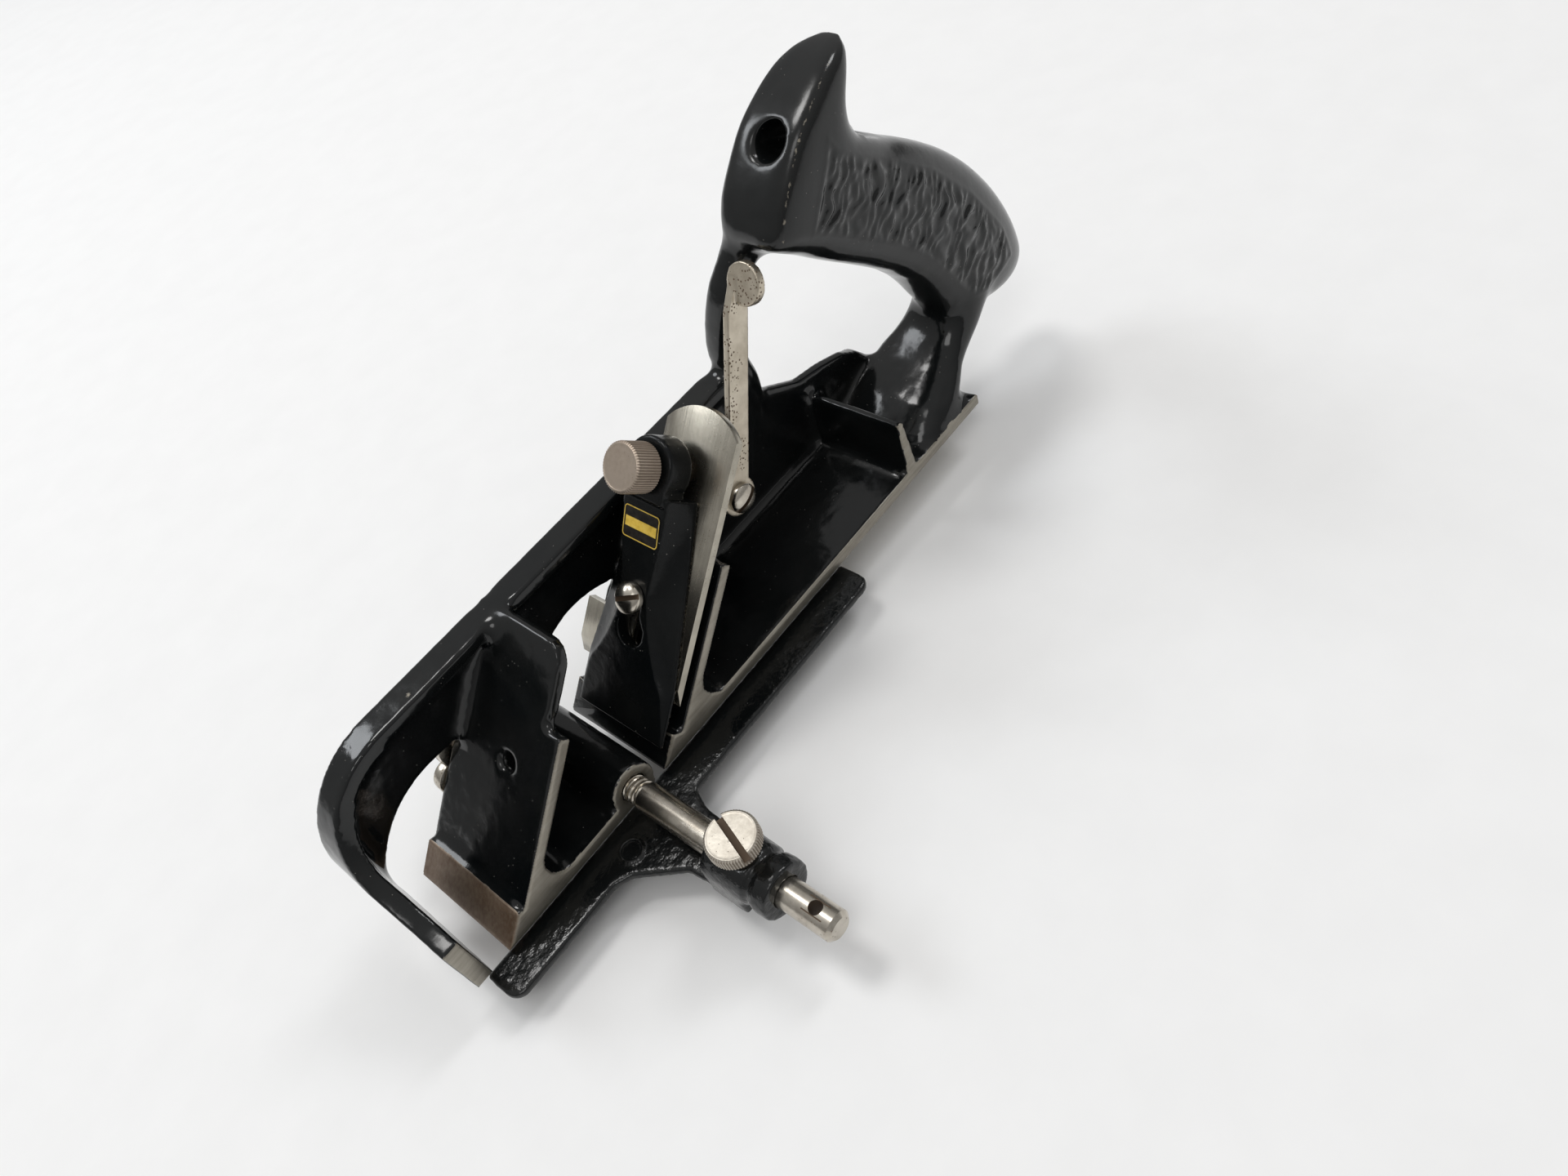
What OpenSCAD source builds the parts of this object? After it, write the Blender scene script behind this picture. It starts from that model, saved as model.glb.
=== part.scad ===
// Rebate plane with two cutter seats, a fence on a rod, a depth stop and a spur.
// The toe points along +X, the fence side is +Y, and the sole lies on Z = 0.
// Sizes in millimetres. Toe features are placed from the toe, handle features from the heel.

/* [Sole] */
// Length of the sole, toe to heel
sole_len = 215; // [200:1:235]
// Width of the sole
sole_w = 38.1; // [36:0.1:42]
// Thickness of the sole plate
sole_t = 4; // [3:0.1:5]
// Thickness of the toe bar in front of the nose mouth
toe_t = 5; // [4:0.1:5.2]
// Gap of the main mouth in front of its bed
mouth_gap = 2.8; // [2:0.1:4]

/* [Side wall] */
// Thickness of the right-hand wall
web_t = 4.5; // [4:0.1:5.5]
// How far the painted part of the wall lies behind its ground band
web_set = 0.8; // [0.4:0.1:1.2]
// Height of the ground band along the right-hand wall
band_h = 20; // [16:0.5:24]
// Height of the top rail above the sole
rail_h = 53; // [51:0.5:58]
// Width of the top rail
rail_w = 8.8; // [7:0.1:9.4]
// Thickness of the top rail
rail_t = 4.5; // [3.5:0.1:6]
// Radius of the nose where the rail turns down to the toe
nose_r = 27.5; // [25:0.5:29]
// Height of the toe bar at its open end
toe_h = 18; // [15:0.5:20]
// Radius of the nose arch through the wall
arch_r = 27; // [25:0.5:27.5]
// Height of the nose arch
arch_h = 30; // [28:0.5:32]
// Radius of the main throat through the wall
throat_r = 24; // [22:0.5:25]
// Height of the main throat
throat_h = 31.5; // [31:0.5:33]

/* [Beds] */
// Slope of both cutter beds
bed_angle = 45; // [45:1:46]
// Toe to the foot of the nose bed
nose_foot = 10.7; // [10:0.1:12]
// Toe to the foot of the main bed
main_foot = 68; // [67:0.5:72]
// Thickness of a bed plate
bed_t = 3.5; // [3:0.1:4]
// Height of the ground pad above the nose bed plate
nose_step = 1.7; // [1.4:0.1:2.5]
// Height of the ground pad above the main bed plate
main_step = 3.3; // [2.8:0.1:3.6]
// Length of the ground pad up the bed
pad_len = 11; // [9:0.5:13]
// Length of the bed plate that reaches the open side
flank_len = 57; // [54:0.5:60]
// Full length of the bed plate
plate_len = 78; // [76:0.5:80]
// How far the upper plate stands in from the open side
plate_inset = 5.6; // [4:0.1:7]
// Radius in the corner between bed and sole
pocket_r = 6; // [4:0.5:7]
// Foot of the bed to the hole for the cap's holding screw
hold_up = 43; // [41:0.5:44]
// Offset of the lever cap from the middle of the sole
cap_y = 2.5; // [1.5:0.1:3.5]

/* [Rear] */
// Heel to the middle of the rear rib
rib_ahead = 33.8; // [32:0.1:36]
// Height of the rear rib
rib_h = 22; // [18:0.5:24]
// Thickness of the rear rib at its foot
rib_t = 4.8; // [4:0.1:6]
// Middle of the handle from the middle of the sole
handle_y = 2; // [1.5:0.1:2.5]
// Radius of the hanging hole in the handle
hang_r = 4.5; // [3.5:0.1:5]

/* [Cutter] */
// Thickness of the cutter
cutter_t = 2.2; // [1.8:0.1:2.6]
// Length of the cutter
cutter_len = 75; // [73:0.5:78]
// Length of the cutter that has the full width
cutter_wide_len = 16; // [12:0.5:17]
// Width of the cutter's shank
shank_w = 24; // [22:0.1:25]
// How far the edge stands up the bed from the sole
cutter_back = 18.7; // [17:0.1:20]
// Width of the slot in the cutter
cutter_slot_w = 6.4; // [6:0.1:7]
// Spacing of the grooves on the cutter's back
groove_pitch = 4; // [3.6:0.1:4.4]
// Depth of a groove
groove_d = 0.8; // [0.7:0.05:1]
// Width of a groove
groove_w = 2.4; // [2.3:0.1:2.8]

/* [Lever cap] */
// Thickness of the cap at its shoulders
cap_t = 9.6; // [8.5:0.1:10]
// Thickness of the cap at the lower end of its raised panel
panel_low_t = 2.8; // [2.4:0.1:3.2]
// Width of the raised panel at the shoulders
panel_w = 16; // [14:0.1:16.4]
// Width of the raised panel at its lower end
panel_low_w = 8; // [6:0.5:12]
// Foot of the bed to the tip of the cap
cap_tip = 7; // [5:0.5:9]
// Length of the cap
cap_len = 78; // [77:0.5:80]
// Width of the cap at its lower edge
cap_w = 32.4; // [30:0.1:32.6]
// Width of the cap at its shoulders
cap_waist = 18.6; // [17.5:0.1:19.6]
// Width of the neck between shoulders and lug
neck_w = 13.6; // [12.5:0.1:14.5]
// Height of the lug above the shoulders
lug_h = 1.2; // [0.8:0.1:2]
// Upper end of the cap to the thumb screw
lug_in = 8; // [7.5:0.1:8.5]
// Diameter of the thumb screw's head
cap_knob_d = 12.7; // [11:0.1:15]
// Height of the thumb screw's head
cap_knob_h = 8; // [6:0.1:10]
// Diameter of the thumb screw's thread
cap_thread_d = 6; // [5:0.1:7]
// Diameter of the holding screw's head
hold_head_d = 8.6; // [8:0.1:10]
// Diameter of the holding screw's shank
hold_d = 5; // [4.5:0.1:5.4]
// How far the cap slides up to come off the holding screw
cap_travel = 9; // [8:0.5:10]

/* [Adjusting lever] */
// Heel to the lever's pivot
pivot_ahead = 80.5; // [79:0.5:82]
// Height of the lever's pivot
pivot_z = 31; // [30:0.5:32]
// Thickness of the lever
lever_t = 2.3; // [2:0.1:2.8]
// Width of the lever
lever_w = 7; // [6:0.1:8]
// Pivot to the middle of the finger tab
lever_len = 58.5; // [57:0.5:59]
// Lean of the lever from upright
lever_lean = 25; // [24:0.5:26]
// Diameter of the finger tab
tab_d = 11; // [9:0.5:11.5]
// Diameter of the pivot screw's shoulder
pivot_d = 5; // [4.5:0.1:5.5]
// Diameter of the pivot screw's head
pivot_head_d = 8.5; // [8:0.1:10]

/* [Fence] */
// Length of the fence
fence_len = 143; // [130:1:150]
// Toe to the front end of the fence
fence_front = 3; // [2:0.5:10]
// Depth of the fence below its flange
fence_h = 11; // [9:0.5:14]
// Width of the fence's flange
flange_w = 11.6; // [10:0.1:12.4]
// How far the fence lies under the sole
fence_under = 2.5; // [1.5:0.1:3.5]
// Thickness of the fence's flange and wall
fence_t = 2.4; // [2:0.1:3]
// Drop of the flange below the sole
fence_drop = 2.2; // [2.1:0.1:3]
// Toe to the fence rod
rod_back = 59.3; // [58.5:0.1:60]
// Height of the fence rod
rod_z = 5.5; // [5.2:0.1:6]
// Diameter of the fence rod
rod_d = 8; // [7.5:0.1:8.5]
// Open side to the outer end of the rod
rod_out = 68; // [64:0.5:74]
// Diameter of the rod's thread
rod_thread_d = 7.4; // [7:0.1:7.4]
// Diameter of the rod's boss on the body
rod_boss_d = 14; // [13:0.1:15]
// Diameter of the fence's boss
fence_boss_d = 15.5; // [15:0.1:17]
// Length of the fence's boss
fence_boss_len = 21; // [19:0.5:24]
// Open side to the fence's boss
fence_boss_out = 31; // [29:0.5:34]
// Diameter of the fence's thumb screw
fence_knob_d = 13.4; // [12:0.1:16]
// Height of the fence's thumb screw head
fence_knob_h = 4; // [3.6:0.1:6]
// Diameter of the fence thumb screw's thread
fence_thread_d = 6; // [5:0.1:7]
// Diameter of the cross hole in the rod
tommy_d = 3.6; // [3:0.1:4]

/* [Depth stop and spur] */
// Toe to the depth stop's screw
stop_back = 41; // [40:0.5:42]
// Height of the depth stop's screw
stop_z = 14; // [13:0.5:15]
// Thickness of the depth stop's upright
stop_t = 3; // [2.5:0.1:4]
// Width of the depth stop's upright
stop_w = 14; // [12:0.5:15]
// Height of the depth stop's upright
stop_h = 28.5; // [27:0.5:31]
// Length of the depth stop's foot
stop_foot_len = 26; // [20:0.5:27]
// Width of the depth stop's foot
stop_foot_w = 7; // [5:0.5:9]
// Thickness of the depth stop's foot
stop_foot_t = 3.5; // [2.5:0.1:4]
// Height of the foot above the sole at rest
stop_lift = 1.5; // [1:0.1:2]
// How far the depth stop moves down
stop_travel = 9; // [7:0.5:9]
// Diameter of the depth stop's thumb screw
stop_knob_d = 13; // [11:0.1:14]
// Diameter of the depth stop screw's thread
stop_thread_d = 5; // [4:0.1:5.5]
// Reach of the spur's lobes from its screw
spur_r = 6.8; // [6.5:0.1:7]
// Thickness of the spur
spur_t = 1.5; // [1.2:0.1:2]
// Diameter of the spur's screw
spur_d = 4; // [3:0.1:4.5]

/* [Fits] */
// Clearance round a turning or sliding shaft
run_gap = 0.05; // [0.02:0.01:0.1]
// Gap between faces that slide past each other
face_gap = 0.1; // [0.05:0.05:0.3]
// Free play round a screw in a slot
slot_gap = 0.3; // [0.2:0.05:0.5]

/* [Hidden] */
$fn = 64;
toe_x = sole_len / 2;
heel_x = -sole_len / 2;
left_y = sole_w / 2;
right_y = -sole_w / 2;
// Cuts reach this far past the faces they open
over = 1;
iron = [0.05, 0.05, 0.055];
bright = [0.72, 0.7, 0.66];

// Places on the body
rail_end = 60;
web_in_y = right_y + web_t;
rail_in_y = right_y + rail_w;
notch_r = rail_h - toe_h - 3;
nose_foot_x = toe_x - nose_foot;
main_foot_x = toe_x - main_foot;
arch_back = toe_t - 1 + arch_r;
throat_back = main_foot + 16;
rod_x = toe_x - rod_back;
pivot_x = heel_x + pivot_ahead;
stop_x = toe_x - stop_back;
rod_hole_end = -4;
shoulder_y = left_y + 2.5;
hold_hole_d = hold_d + 2 * run_gap;
stop_boss_d = 12;
stop_boss_len = 4;
pivot_boss_d = 10;

// Places up the bed, measured from its foot, and heights above the pad
cap_h0 = cutter_t + face_gap;
cap_end = cap_tip + cap_len;
screw_up = cap_end - lug_in;
shoulder_up = screw_up - 6;
panel_up = cap_tip + 13;
flare_up = cap_tip + 15;
lip_t = 0.9;
lug_under = cap_h0 + 3;
lug_top = cap_h0 + cap_t + lug_h;
knob_gap = 0.9;
panel_slope = (cap_t - panel_low_t) / (shoulder_up - panel_up);
hold_seat = cap_h0 + panel_low_t + (hold_up + hold_head_d / 2 - panel_up) * panel_slope + face_gap;
key_d = hold_head_d + 2 * slot_gap;

// The lever's finger crosses the bed where the pivot stands square to it
pivot_run = main_foot_x - pivot_x;
finger_up = pivot_run * cos(bed_angle) + pivot_z * sin(bed_angle);
finger_len = pivot_run * sin(bed_angle) - pivot_z * cos(bed_angle);
tip_r = 0.9;
tip_sink = 0.3;
lever_y0 = -0.8;
tab_t = 2.4;
tab_side = 3.6;
finger_w = 4;
finger_swing = 4.5;

// Places on the fence
fence_y0 = left_y - fence_under;
flange_top = -fence_drop;
boss_y0 = left_y + fence_boss_out;
boss_y1 = boss_y0 + fence_boss_len;
rod_end_y = left_y + rod_out;
fence_screw_y = boss_y0 + fence_boss_len / 2;
fence_knob_z = rod_z + fence_boss_d / 2 + 5.5;
tommy_y = rod_end_y - 6;

// Places on the depth stop and spur
stop_out = right_y - face_gap;
stop_wing = 5;
stop_wing_h = 19;
washer_t = 0.8;
stop_knob_len = 6;
spur_floor = right_y + spur_t + face_gap;
spur_hub_r = 4.4;
spur_screw_len = 10;

// Handle sections: front point and back point as [ahead of the heel, height], half width, side offset
grip_sections = [
  [[5.5, 118.8], [4, 117.8], 2.6, -0.3], [[11, 118.7], [5.8, 115], 6.6, -0.3],
  [[18, 117.5], [8.8, 111.5], 9, -0.2], [[26, 114.5], [12, 106], 10.3, -0.1],
  [[34, 110.3], [12.4, 101.3], 11, 0], [[41.2, 103.5], [10, 96.8], 11.6, -0.2],
  [[46.6, 97], [4, 92], 12, -0.7], [[50, 91], [-2, 87], 11.9, -0.8], [[47, 86.8], [-7.5, 83], 11.2, -0.2],
  [[40, 80.8], [-15, 77], 11, 0], [[31, 72.3], [-23, 69.5], 11, 0], [[20, 62.5], [-31, 60], 11, 0],
  [[10.5, 53.5], [-38, 49], 11.2, 0], [[4, 45.5], [-43, 38], 11.4, 0], [[0, 38.5], [-46, 28], 11.2, 0],
  [[-3, 31], [-47, 20], 10.2, 0], [[-8, 24], [-43, 15], 8, 0], [[-16, 19], [-35, 14], 4.5, 0]
];
foot_sections = [
  [[-13, 36], [-29, 24], 9, 0], [[-10.5, 31], [-18, 14], 9, 0], [[-7, 25.5], [-9, 9.5], 9.2, 0],
  [[-2, 20], [-2, 6.5], 10, 0], [[6.5, 15.5], [0.8, 4.5], 12.5, -0.5], [[18, 12], [0.8, 3], 16, -1],
  [[28, 6], [0.8, 2], 18.9, -2], [[29.5, 2], [0.8, 1], 18.9, -2]
];
post_sections = [
  [[42, 97], [30, 90], 6, -5], [[48.5, 89], [36, 83.5], 6, -7.6], [[53.2, 81.5], [44, 78], 5.2, -10.2],
  [[56.7, 75], [48.5, 73], 4.8, -12], [[59, 68], [51, 67], 4.6, -13.9], [[60.2, 61], [52, 60], 4.5, -15.6],
  [[60.7, 55], [51.5, 53], 4.5, -16.2], [[61, 49], [50, 45], 4.5, -16.5],
  [[58.5, 41.5], [50, 38.5], 3.8, -17], [[56, 34], [51, 31.5], 2.4, -17.8]
];
// Rear outline of the wall as [ahead of the heel, height]
web_rear = [
  [rail_end, rail_h], [55, 47], [51, 41], [47.5, 35.5], [36, 28.5], [26, 26], [17, 23], [11, 19], [2.5, 8.5],
  [0, 4], [0, 0]
];
// Hanging hole: middle of the horn's face and its slope
hang_ahead = 35.4;
hang_z = 109;
hang_tilt = 66;
hang_side = 1.4;

// How round the front and the back of a handle section are, where 1 is an ellipse
front_round = 0.64;
back_round = 0.82;
// Signed power that squares up an ellipse
function round_box(v, p) = sign(v) * pow(abs(v), p);
// One point of a handle section
function handle_point(s, a) = let (p = cos(a) < 0 ? front_round : back_round) [
  heel_x + (s[0][0] + s[1][0]) / 2 + (s[1][0] - s[0][0]) / 2 * round_box(cos(a), p),
  handle_y + s[3] + s[2] * round_box(sin(a), p),
  (s[0][1] + s[1][1]) / 2 + (s[1][1] - s[0][1]) / 2 * round_box(cos(a), p)
];
// Smooth bar through a list of handle sections, listed from the top down
module handle_bar(sections, sides = 20) {
  rings = len(sections);
  points = [for (s = sections) for (k = [0:sides - 1]) handle_point(s, 360 * k / sides)];
  walls = [
    for (i = [0:rings - 2]) for (k = [0:sides - 1])
      let (a = i * sides + k, b = i * sides + (k + 1) % sides)
        each [[a, a + sides, b], [b, a + sides, b + sides]]
  ];
  first = [for (k = [0:sides - 1]) k];
  last = [for (k = [0:sides - 1]) rings * sides - 1 - k];
  polyhedron(points, concat(walls, [first, last]), convexity = 4);
}

// Draws an X-Z outline and thickens it from y0 to y1
module across(y0, y1) {
  translate([0, y1, 0]) rotate([90, 0, 0]) linear_extrude(y1 - y0) children();
}

// Local frame of a bed: X across the plane, Y up the bed, Z off its face
module on_bed(foot_x) {
  translate([foot_x, 0, 0]) rotate([bed_angle, 0, 90]) children();
}

// Round bar along Y
module bar_y(x, z, d, y0, y1) {
  translate([x, y1, z]) rotate([90, 0, 0]) cylinder(d = d, h = y1 - y0);
}

// Outline of the wall's nose and top, taken in by inset
module top_outline(inset) {
  translate([toe_x - nose_r, rail_h - nose_r]) circle(nose_r - inset);
  translate([toe_x - nose_r, -over]) square([nose_r - inset, rail_h - nose_r + over]);
  translate([heel_x + rail_end, -over]) square([sole_len - rail_end - nose_r, rail_h - inset + over]);
}

// Everything in front of the middle of a bed's plate, in the X-Z plane
module before_bed(foot_x, step) {
  face = (step + bed_t / 2) / sin(bed_angle);
  rise = rail_h + over;
  polygon([
    [foot_x - face, 0], [foot_x - face - rise / tan(bed_angle), rise], [toe_x + over, rise],
    [toe_x + over, -over], [foot_x - face, -over]
  ]);
}

// Outline of the right-hand wall with its two throats
module web_outline() {
  difference() {
    union() {
      top_outline(0);
      polygon(concat(
        [for (p = web_rear) [heel_x + p[0], p[1]]],
        [[toe_x - nose_r, 0], [toe_x - nose_r, rail_h]]
      ));
    }
    translate([toe_x - nose_r - over, -2 * over]) square([nose_r + 2 * over, 2 * over]);
    translate([heel_x - over, -2 * over]) square([sole_len, 2 * over]);
    intersection() {
      translate([toe_x - arch_back, arch_h - arch_r]) circle(arch_r);
      before_bed(nose_foot_x, nose_step);
    }
    intersection() {
      translate([toe_x - throat_back, throat_h - throat_r]) circle(throat_r);
      before_bed(main_foot_x, main_step);
    }
  }
}

// Plate of one bed with its ground pad and the rounded corner behind it
module bed(foot_x, step, finger) {
  low = -step - bed_t;
  corner_x = foot_x - (step + bed_t) / sin(bed_angle) - sole_t / tan(bed_angle);
  reach = pocket_r / tan(bed_angle / 2);
  on_bed(foot_x) {
    difference() {
      translate([0, 0, low]) linear_extrude(bed_t) plate_outline();
      translate([cap_y, hold_up, low - over]) cylinder(d = hold_hole_d, h = bed_t + 2 * over);
      if (finger)
        translate([lever_y0 - over, finger_up - finger_w / 2 - finger_swing, low - over])
          cube([lever_t + 2 * over, finger_w + 2 * finger_swing, bed_t + 2 * over]);
    }
    translate([right_y, 0, low]) cube([sole_w, pad_len, step + bed_t]);
  }
  across(right_y, left_y) difference() {
    polygon([
      [corner_x + sole_t, 0], [corner_x + bed_t, sole_t], [corner_x - reach * cos(bed_angle), sole_t + reach * sin(bed_angle)],
      [corner_x - reach, sole_t], [corner_x - reach, 0]
    ]);
    translate([corner_x - reach, sole_t + pocket_r]) circle(pocket_r);
  }
}

// Outline of a bed plate: full width low down, set in from the open side above
module plate_outline() {
  upper_y = left_y - plate_inset;
  corner_r = 6;
  translate([right_y, 0]) square([sole_w, flank_len]);
  translate([right_y, 0]) square([upper_y - right_y, plate_len - corner_r]);
  translate([right_y, plate_len - 2 * corner_r]) square([upper_y - right_y - corner_r, 2 * corner_r]);
  translate([upper_y - corner_r, plate_len - corner_r]) circle(corner_r);
}

// Nose band across the toe, cut away above the open end of the toe bar
module nose() {
  difference() {
    across(right_y, left_y) intersection() {
      difference() {
        top_outline(0);
        top_outline(toe_t);
      }
      translate([toe_x - nose_r, 0]) square([nose_r + over, rail_h]);
    }
    translate([toe_x - nose_r - over, rail_in_y + notch_r, toe_h + notch_r])
      rotate([0, 90, 0]) cylinder(r = notch_r, h = nose_r + 2 * over, $fn = 96);
    translate([toe_x - nose_r - over, rail_in_y, toe_h + notch_r])
      cube([nose_r + 2 * over, sole_w, rail_h]);
  }
}

// Top rail along the wall, from the nose to the handle
module rail() {
  across(right_y, rail_in_y) difference() {
    top_outline(0);
    top_outline(rail_t);
    translate([heel_x, -2 * over]) square([sole_len + over, 2 * over]);
  }
}

// Frame of the casting below the handle, trimmed to the sole's own box
module frame_casting() {
  intersection() {
    union() {
      across(right_y + web_set, web_in_y) web_outline();
      across(right_y, web_in_y) intersection() {
        web_outline();
        translate([heel_x, 0]) square([sole_len, band_h]);
      }
      rail();
      nose();
      bed(nose_foot_x, nose_step, false);
      bed(main_foot_x, main_step, true);
      across(right_y, left_y) {
        translate([main_foot_x + mouth_gap, 0]) square([nose_foot_x - main_foot_x - mouth_gap - sole_t, sole_t]);
        translate([heel_x, 0]) square([main_foot_x - sole_t - heel_x, sole_t]);
        translate([heel_x + rib_ahead, 0])
          polygon([[-rib_t / 2, 0], [rib_t / 2, 0], [rib_t / 4, rib_h], [-rib_t / 4, rib_h]]);
      }
      bar_y(rod_x, rod_z, rod_boss_d, right_y, left_y);
      bar_y(pivot_x, pivot_z, pivot_boss_d, web_in_y - over, lever_y0 - face_gap);
      bar_y(stop_x, stop_z, stop_boss_d, web_in_y - over, web_in_y + stop_boss_len);
    }
    translate([heel_x, right_y, 0]) cube([sole_len, sole_w, rail_h + bed_t]);
  }
}

// One casting: sole, wall, beds and handle, with its drilled and tapped holes
module body() {
  color(iron) difference() {
    union() {
      frame_casting();
      handle_bar(grip_sections);
      handle_bar(foot_sections, 24);
      handle_bar(post_sections, 12);
    }
    bar_y(rod_x, rod_z, rod_thread_d + 2 * run_gap, rod_hole_end, left_y + over);
    bar_y(rod_x, rod_z, 2 * (spur_r + slot_gap), right_y - over, spur_floor);
    bar_y(rod_x, rod_z, spur_d + 2 * run_gap, right_y, right_y + spur_screw_len + over);
    bar_y(pivot_x, pivot_z, pivot_d + 2 * run_gap, right_y - over, lever_y0);
    bar_y(stop_x, stop_z, stop_thread_d + 2 * run_gap, right_y - over, web_in_y + stop_boss_len + over);
    translate([heel_x + hang_ahead, handle_y + hang_side, hang_z]) rotate([0, hang_tilt, 0])
      cylinder(r = hang_r, h = 60, center = true);
  }
}

// Outline of the cutter across and up from its edge
module cutter_outline() {
  top_r = shank_w * 0.66;
  shank_mid = left_y - shank_w / 2;
  translate([right_y, 0]) square([sole_w, cutter_wide_len]);
  intersection() {
    translate([left_y - shank_w, 0]) square([shank_w, cutter_len]);
    union() {
      translate([left_y - shank_w, 0]) square([shank_w, cutter_len - top_r]);
      translate([shank_mid, cutter_len - top_r]) circle(top_r);
    }
  }
}

// Cutter with its ground bevel, its slot and the grooves on its back
module cutter() {
  slot_low = hold_up - cutter_back - 13;
  slot_high = hold_up - cutter_back + 16;
  color(bright) on_bed(main_foot_x) translate([0, cutter_back, 0]) difference() {
    linear_extrude(cutter_t) cutter_outline();
    translate([right_y - over, 0, 0]) rotate([-90 + 25, 0, 0]) translate([0, -cutter_t * 3, -over])
      cube([sole_w + 2 * over, cutter_t * 3, cutter_t * 4]);
    translate([0, 0, -over]) linear_extrude(cutter_t + 2 * over) {
      translate([cap_y - cutter_slot_w / 2, slot_low]) square([cutter_slot_w, slot_high - slot_low]);
      translate([cap_y, slot_low]) circle(d = cutter_slot_w);
      translate([cap_y, slot_high]) circle(d = cutter_slot_w);
    }
    for (k = [-2:3])
      translate([left_y - shank_w + 2, finger_up - cutter_back + k * groove_pitch - groove_w / 2, -over])
        cube([shank_w - 6, groove_w, groove_d + over]);
  }
}

// Lever cap: thin lip, raised panel between sloping flanks, lug for the thumb screw, keyhole
module lever_cap() {
  color(iron) on_bed(main_foot_x) translate([cap_y, 0, 0]) difference() {
    union() {
      hull() {
        translate([0, 0, cap_h0]) linear_extrude(lip_t) polygon([
          [-cap_w / 2, cap_tip], [cap_w / 2, cap_tip], [cap_w / 2, flare_up], [cap_waist / 2, shoulder_up],
          [-cap_waist / 2, shoulder_up], [-cap_w / 2, flare_up]
        ]);
        translate([-panel_w / 2, shoulder_up - lip_t, cap_h0]) cube([panel_w, lip_t, cap_t]);
        translate([-panel_low_w / 2, panel_up, cap_h0]) cube([panel_low_w, lip_t, panel_low_t]);
      }
      translate([-neck_w / 2, shoulder_up - over, lug_under])
        cube([neck_w, screw_up - shoulder_up + over, lug_top - lug_under]);
      translate([0, screw_up, lug_under]) cylinder(r = lug_in, h = lug_top - lug_under);
    }
    translate([0, screw_up, 0]) cylinder(d = cap_thread_d + 2 * run_gap, h = lug_top + over);
    translate([0, 0, cap_h0 - over]) linear_extrude(cap_t + 2 * over) {
      translate([0, hold_up]) circle(d = hold_d + 2 * slot_gap);
      translate([-hold_d / 2 - slot_gap, hold_up - cap_travel]) square([hold_d + 2 * slot_gap, cap_travel]);
      translate([0, hold_up - cap_travel]) circle(d = key_d);
    }
  }
}
// Round knob with chamfered rims and a collar below it
module knob(d, h, collar_d, collar_h) {
  bevel = 0.5;
  translate([0, 0, -collar_h]) cylinder(d = collar_d, h = collar_h + bevel);
  cylinder(d1 = d - 2 * bevel, d2 = d, h = bevel);
  translate([0, 0, bevel]) cylinder(d = d, h = h - 2 * bevel);
  translate([0, 0, h - bevel]) cylinder(d1 = d, d2 = d - 2 * bevel, h = bevel);
}

// Round screw head with a slot
module round_head(d, h) {
  slot_w = 1.2;
  ball_r = (d * d / 4 + h * h) / (2 * h);
  difference() {
    intersection() {
      cylinder(d = d, h = h);
      translate([0, 0, h - ball_r]) sphere(ball_r);
    }
    translate([-d, -slot_w / 2, h * 0.55]) cube([2 * d, slot_w, h]);
  }
}

// Knurled screw that clamps the cap down on the cutter
module cap_thumb_screw() {
  color(bright) on_bed(main_foot_x) translate([cap_y, screw_up, 0]) {
    translate([0, 0, cap_h0]) cylinder(d = cap_thread_d, h = lug_top + knob_gap - cap_h0);
    translate([0, 0, lug_top + knob_gap])
      knob(cap_knob_d, cap_knob_h, cap_thread_d + 2, knob_gap - face_gap);
  }
}

// Slotted screw that holds the cap by its keyhole
module cap_holding_screw() {
  deep = main_step + bed_t;
  color(bright) on_bed(main_foot_x) translate([cap_y, hold_up, 0]) {
    translate([0, 0, -deep]) cylinder(d = hold_d, h = deep + hold_seat);
    translate([0, 0, hold_seat]) round_head(hold_head_d, hold_head_d * 0.4);
  }
}

// Bell-crank lever: a long arm with a finger tab, and a finger into the cutter's groove
module adjusting_lever() {
  eye_d = pivot_head_d + 3;
  root_w = finger_w / 2;
  color(bright) {
    difference() {
      translate([pivot_x, lever_y0 + lever_t, pivot_z]) rotate([90, 0, 0]) linear_extrude(lever_t) union() {
        circle(d = eye_d);
        rotate(lever_lean) translate([-lever_w / 2, 0]) square([lever_w, lever_len + tab_d / 2 - 2]);
        rotate(-bed_angle) {
          translate([0, finger_len - tip_sink]) circle(tip_r);
          polygon([
            [-root_w, 0], [root_w, 0], [root_w, finger_len - 6],
            [tip_r, finger_len - tip_sink], [-tip_r, finger_len - tip_sink], [-root_w, finger_len - 6]
          ]);
        }
      }
      bar_y(pivot_x, pivot_z, pivot_d + 2 * run_gap, lever_y0 - over, lever_y0 + lever_t + over);
    }
    translate([pivot_x, lever_y0 + lever_t / 2 + tab_side, pivot_z]) rotate([0, -lever_lean, 0])
      translate([-tab_t / 2, 0, lever_len]) rotate([0, 90, 0]) cylinder(d = tab_d, h = tab_t);
  }
}

// Shouldered screw that the lever turns on
module lever_pivot_screw() {
  head_y = lever_y0 + lever_t + face_gap;
  color(bright) {
    bar_y(pivot_x, pivot_z, pivot_d, web_in_y, head_y);
    translate([pivot_x, head_y, pivot_z]) rotate([-90, 0, 0]) round_head(pivot_head_d, pivot_head_d * 0.35);
  }
}

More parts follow.
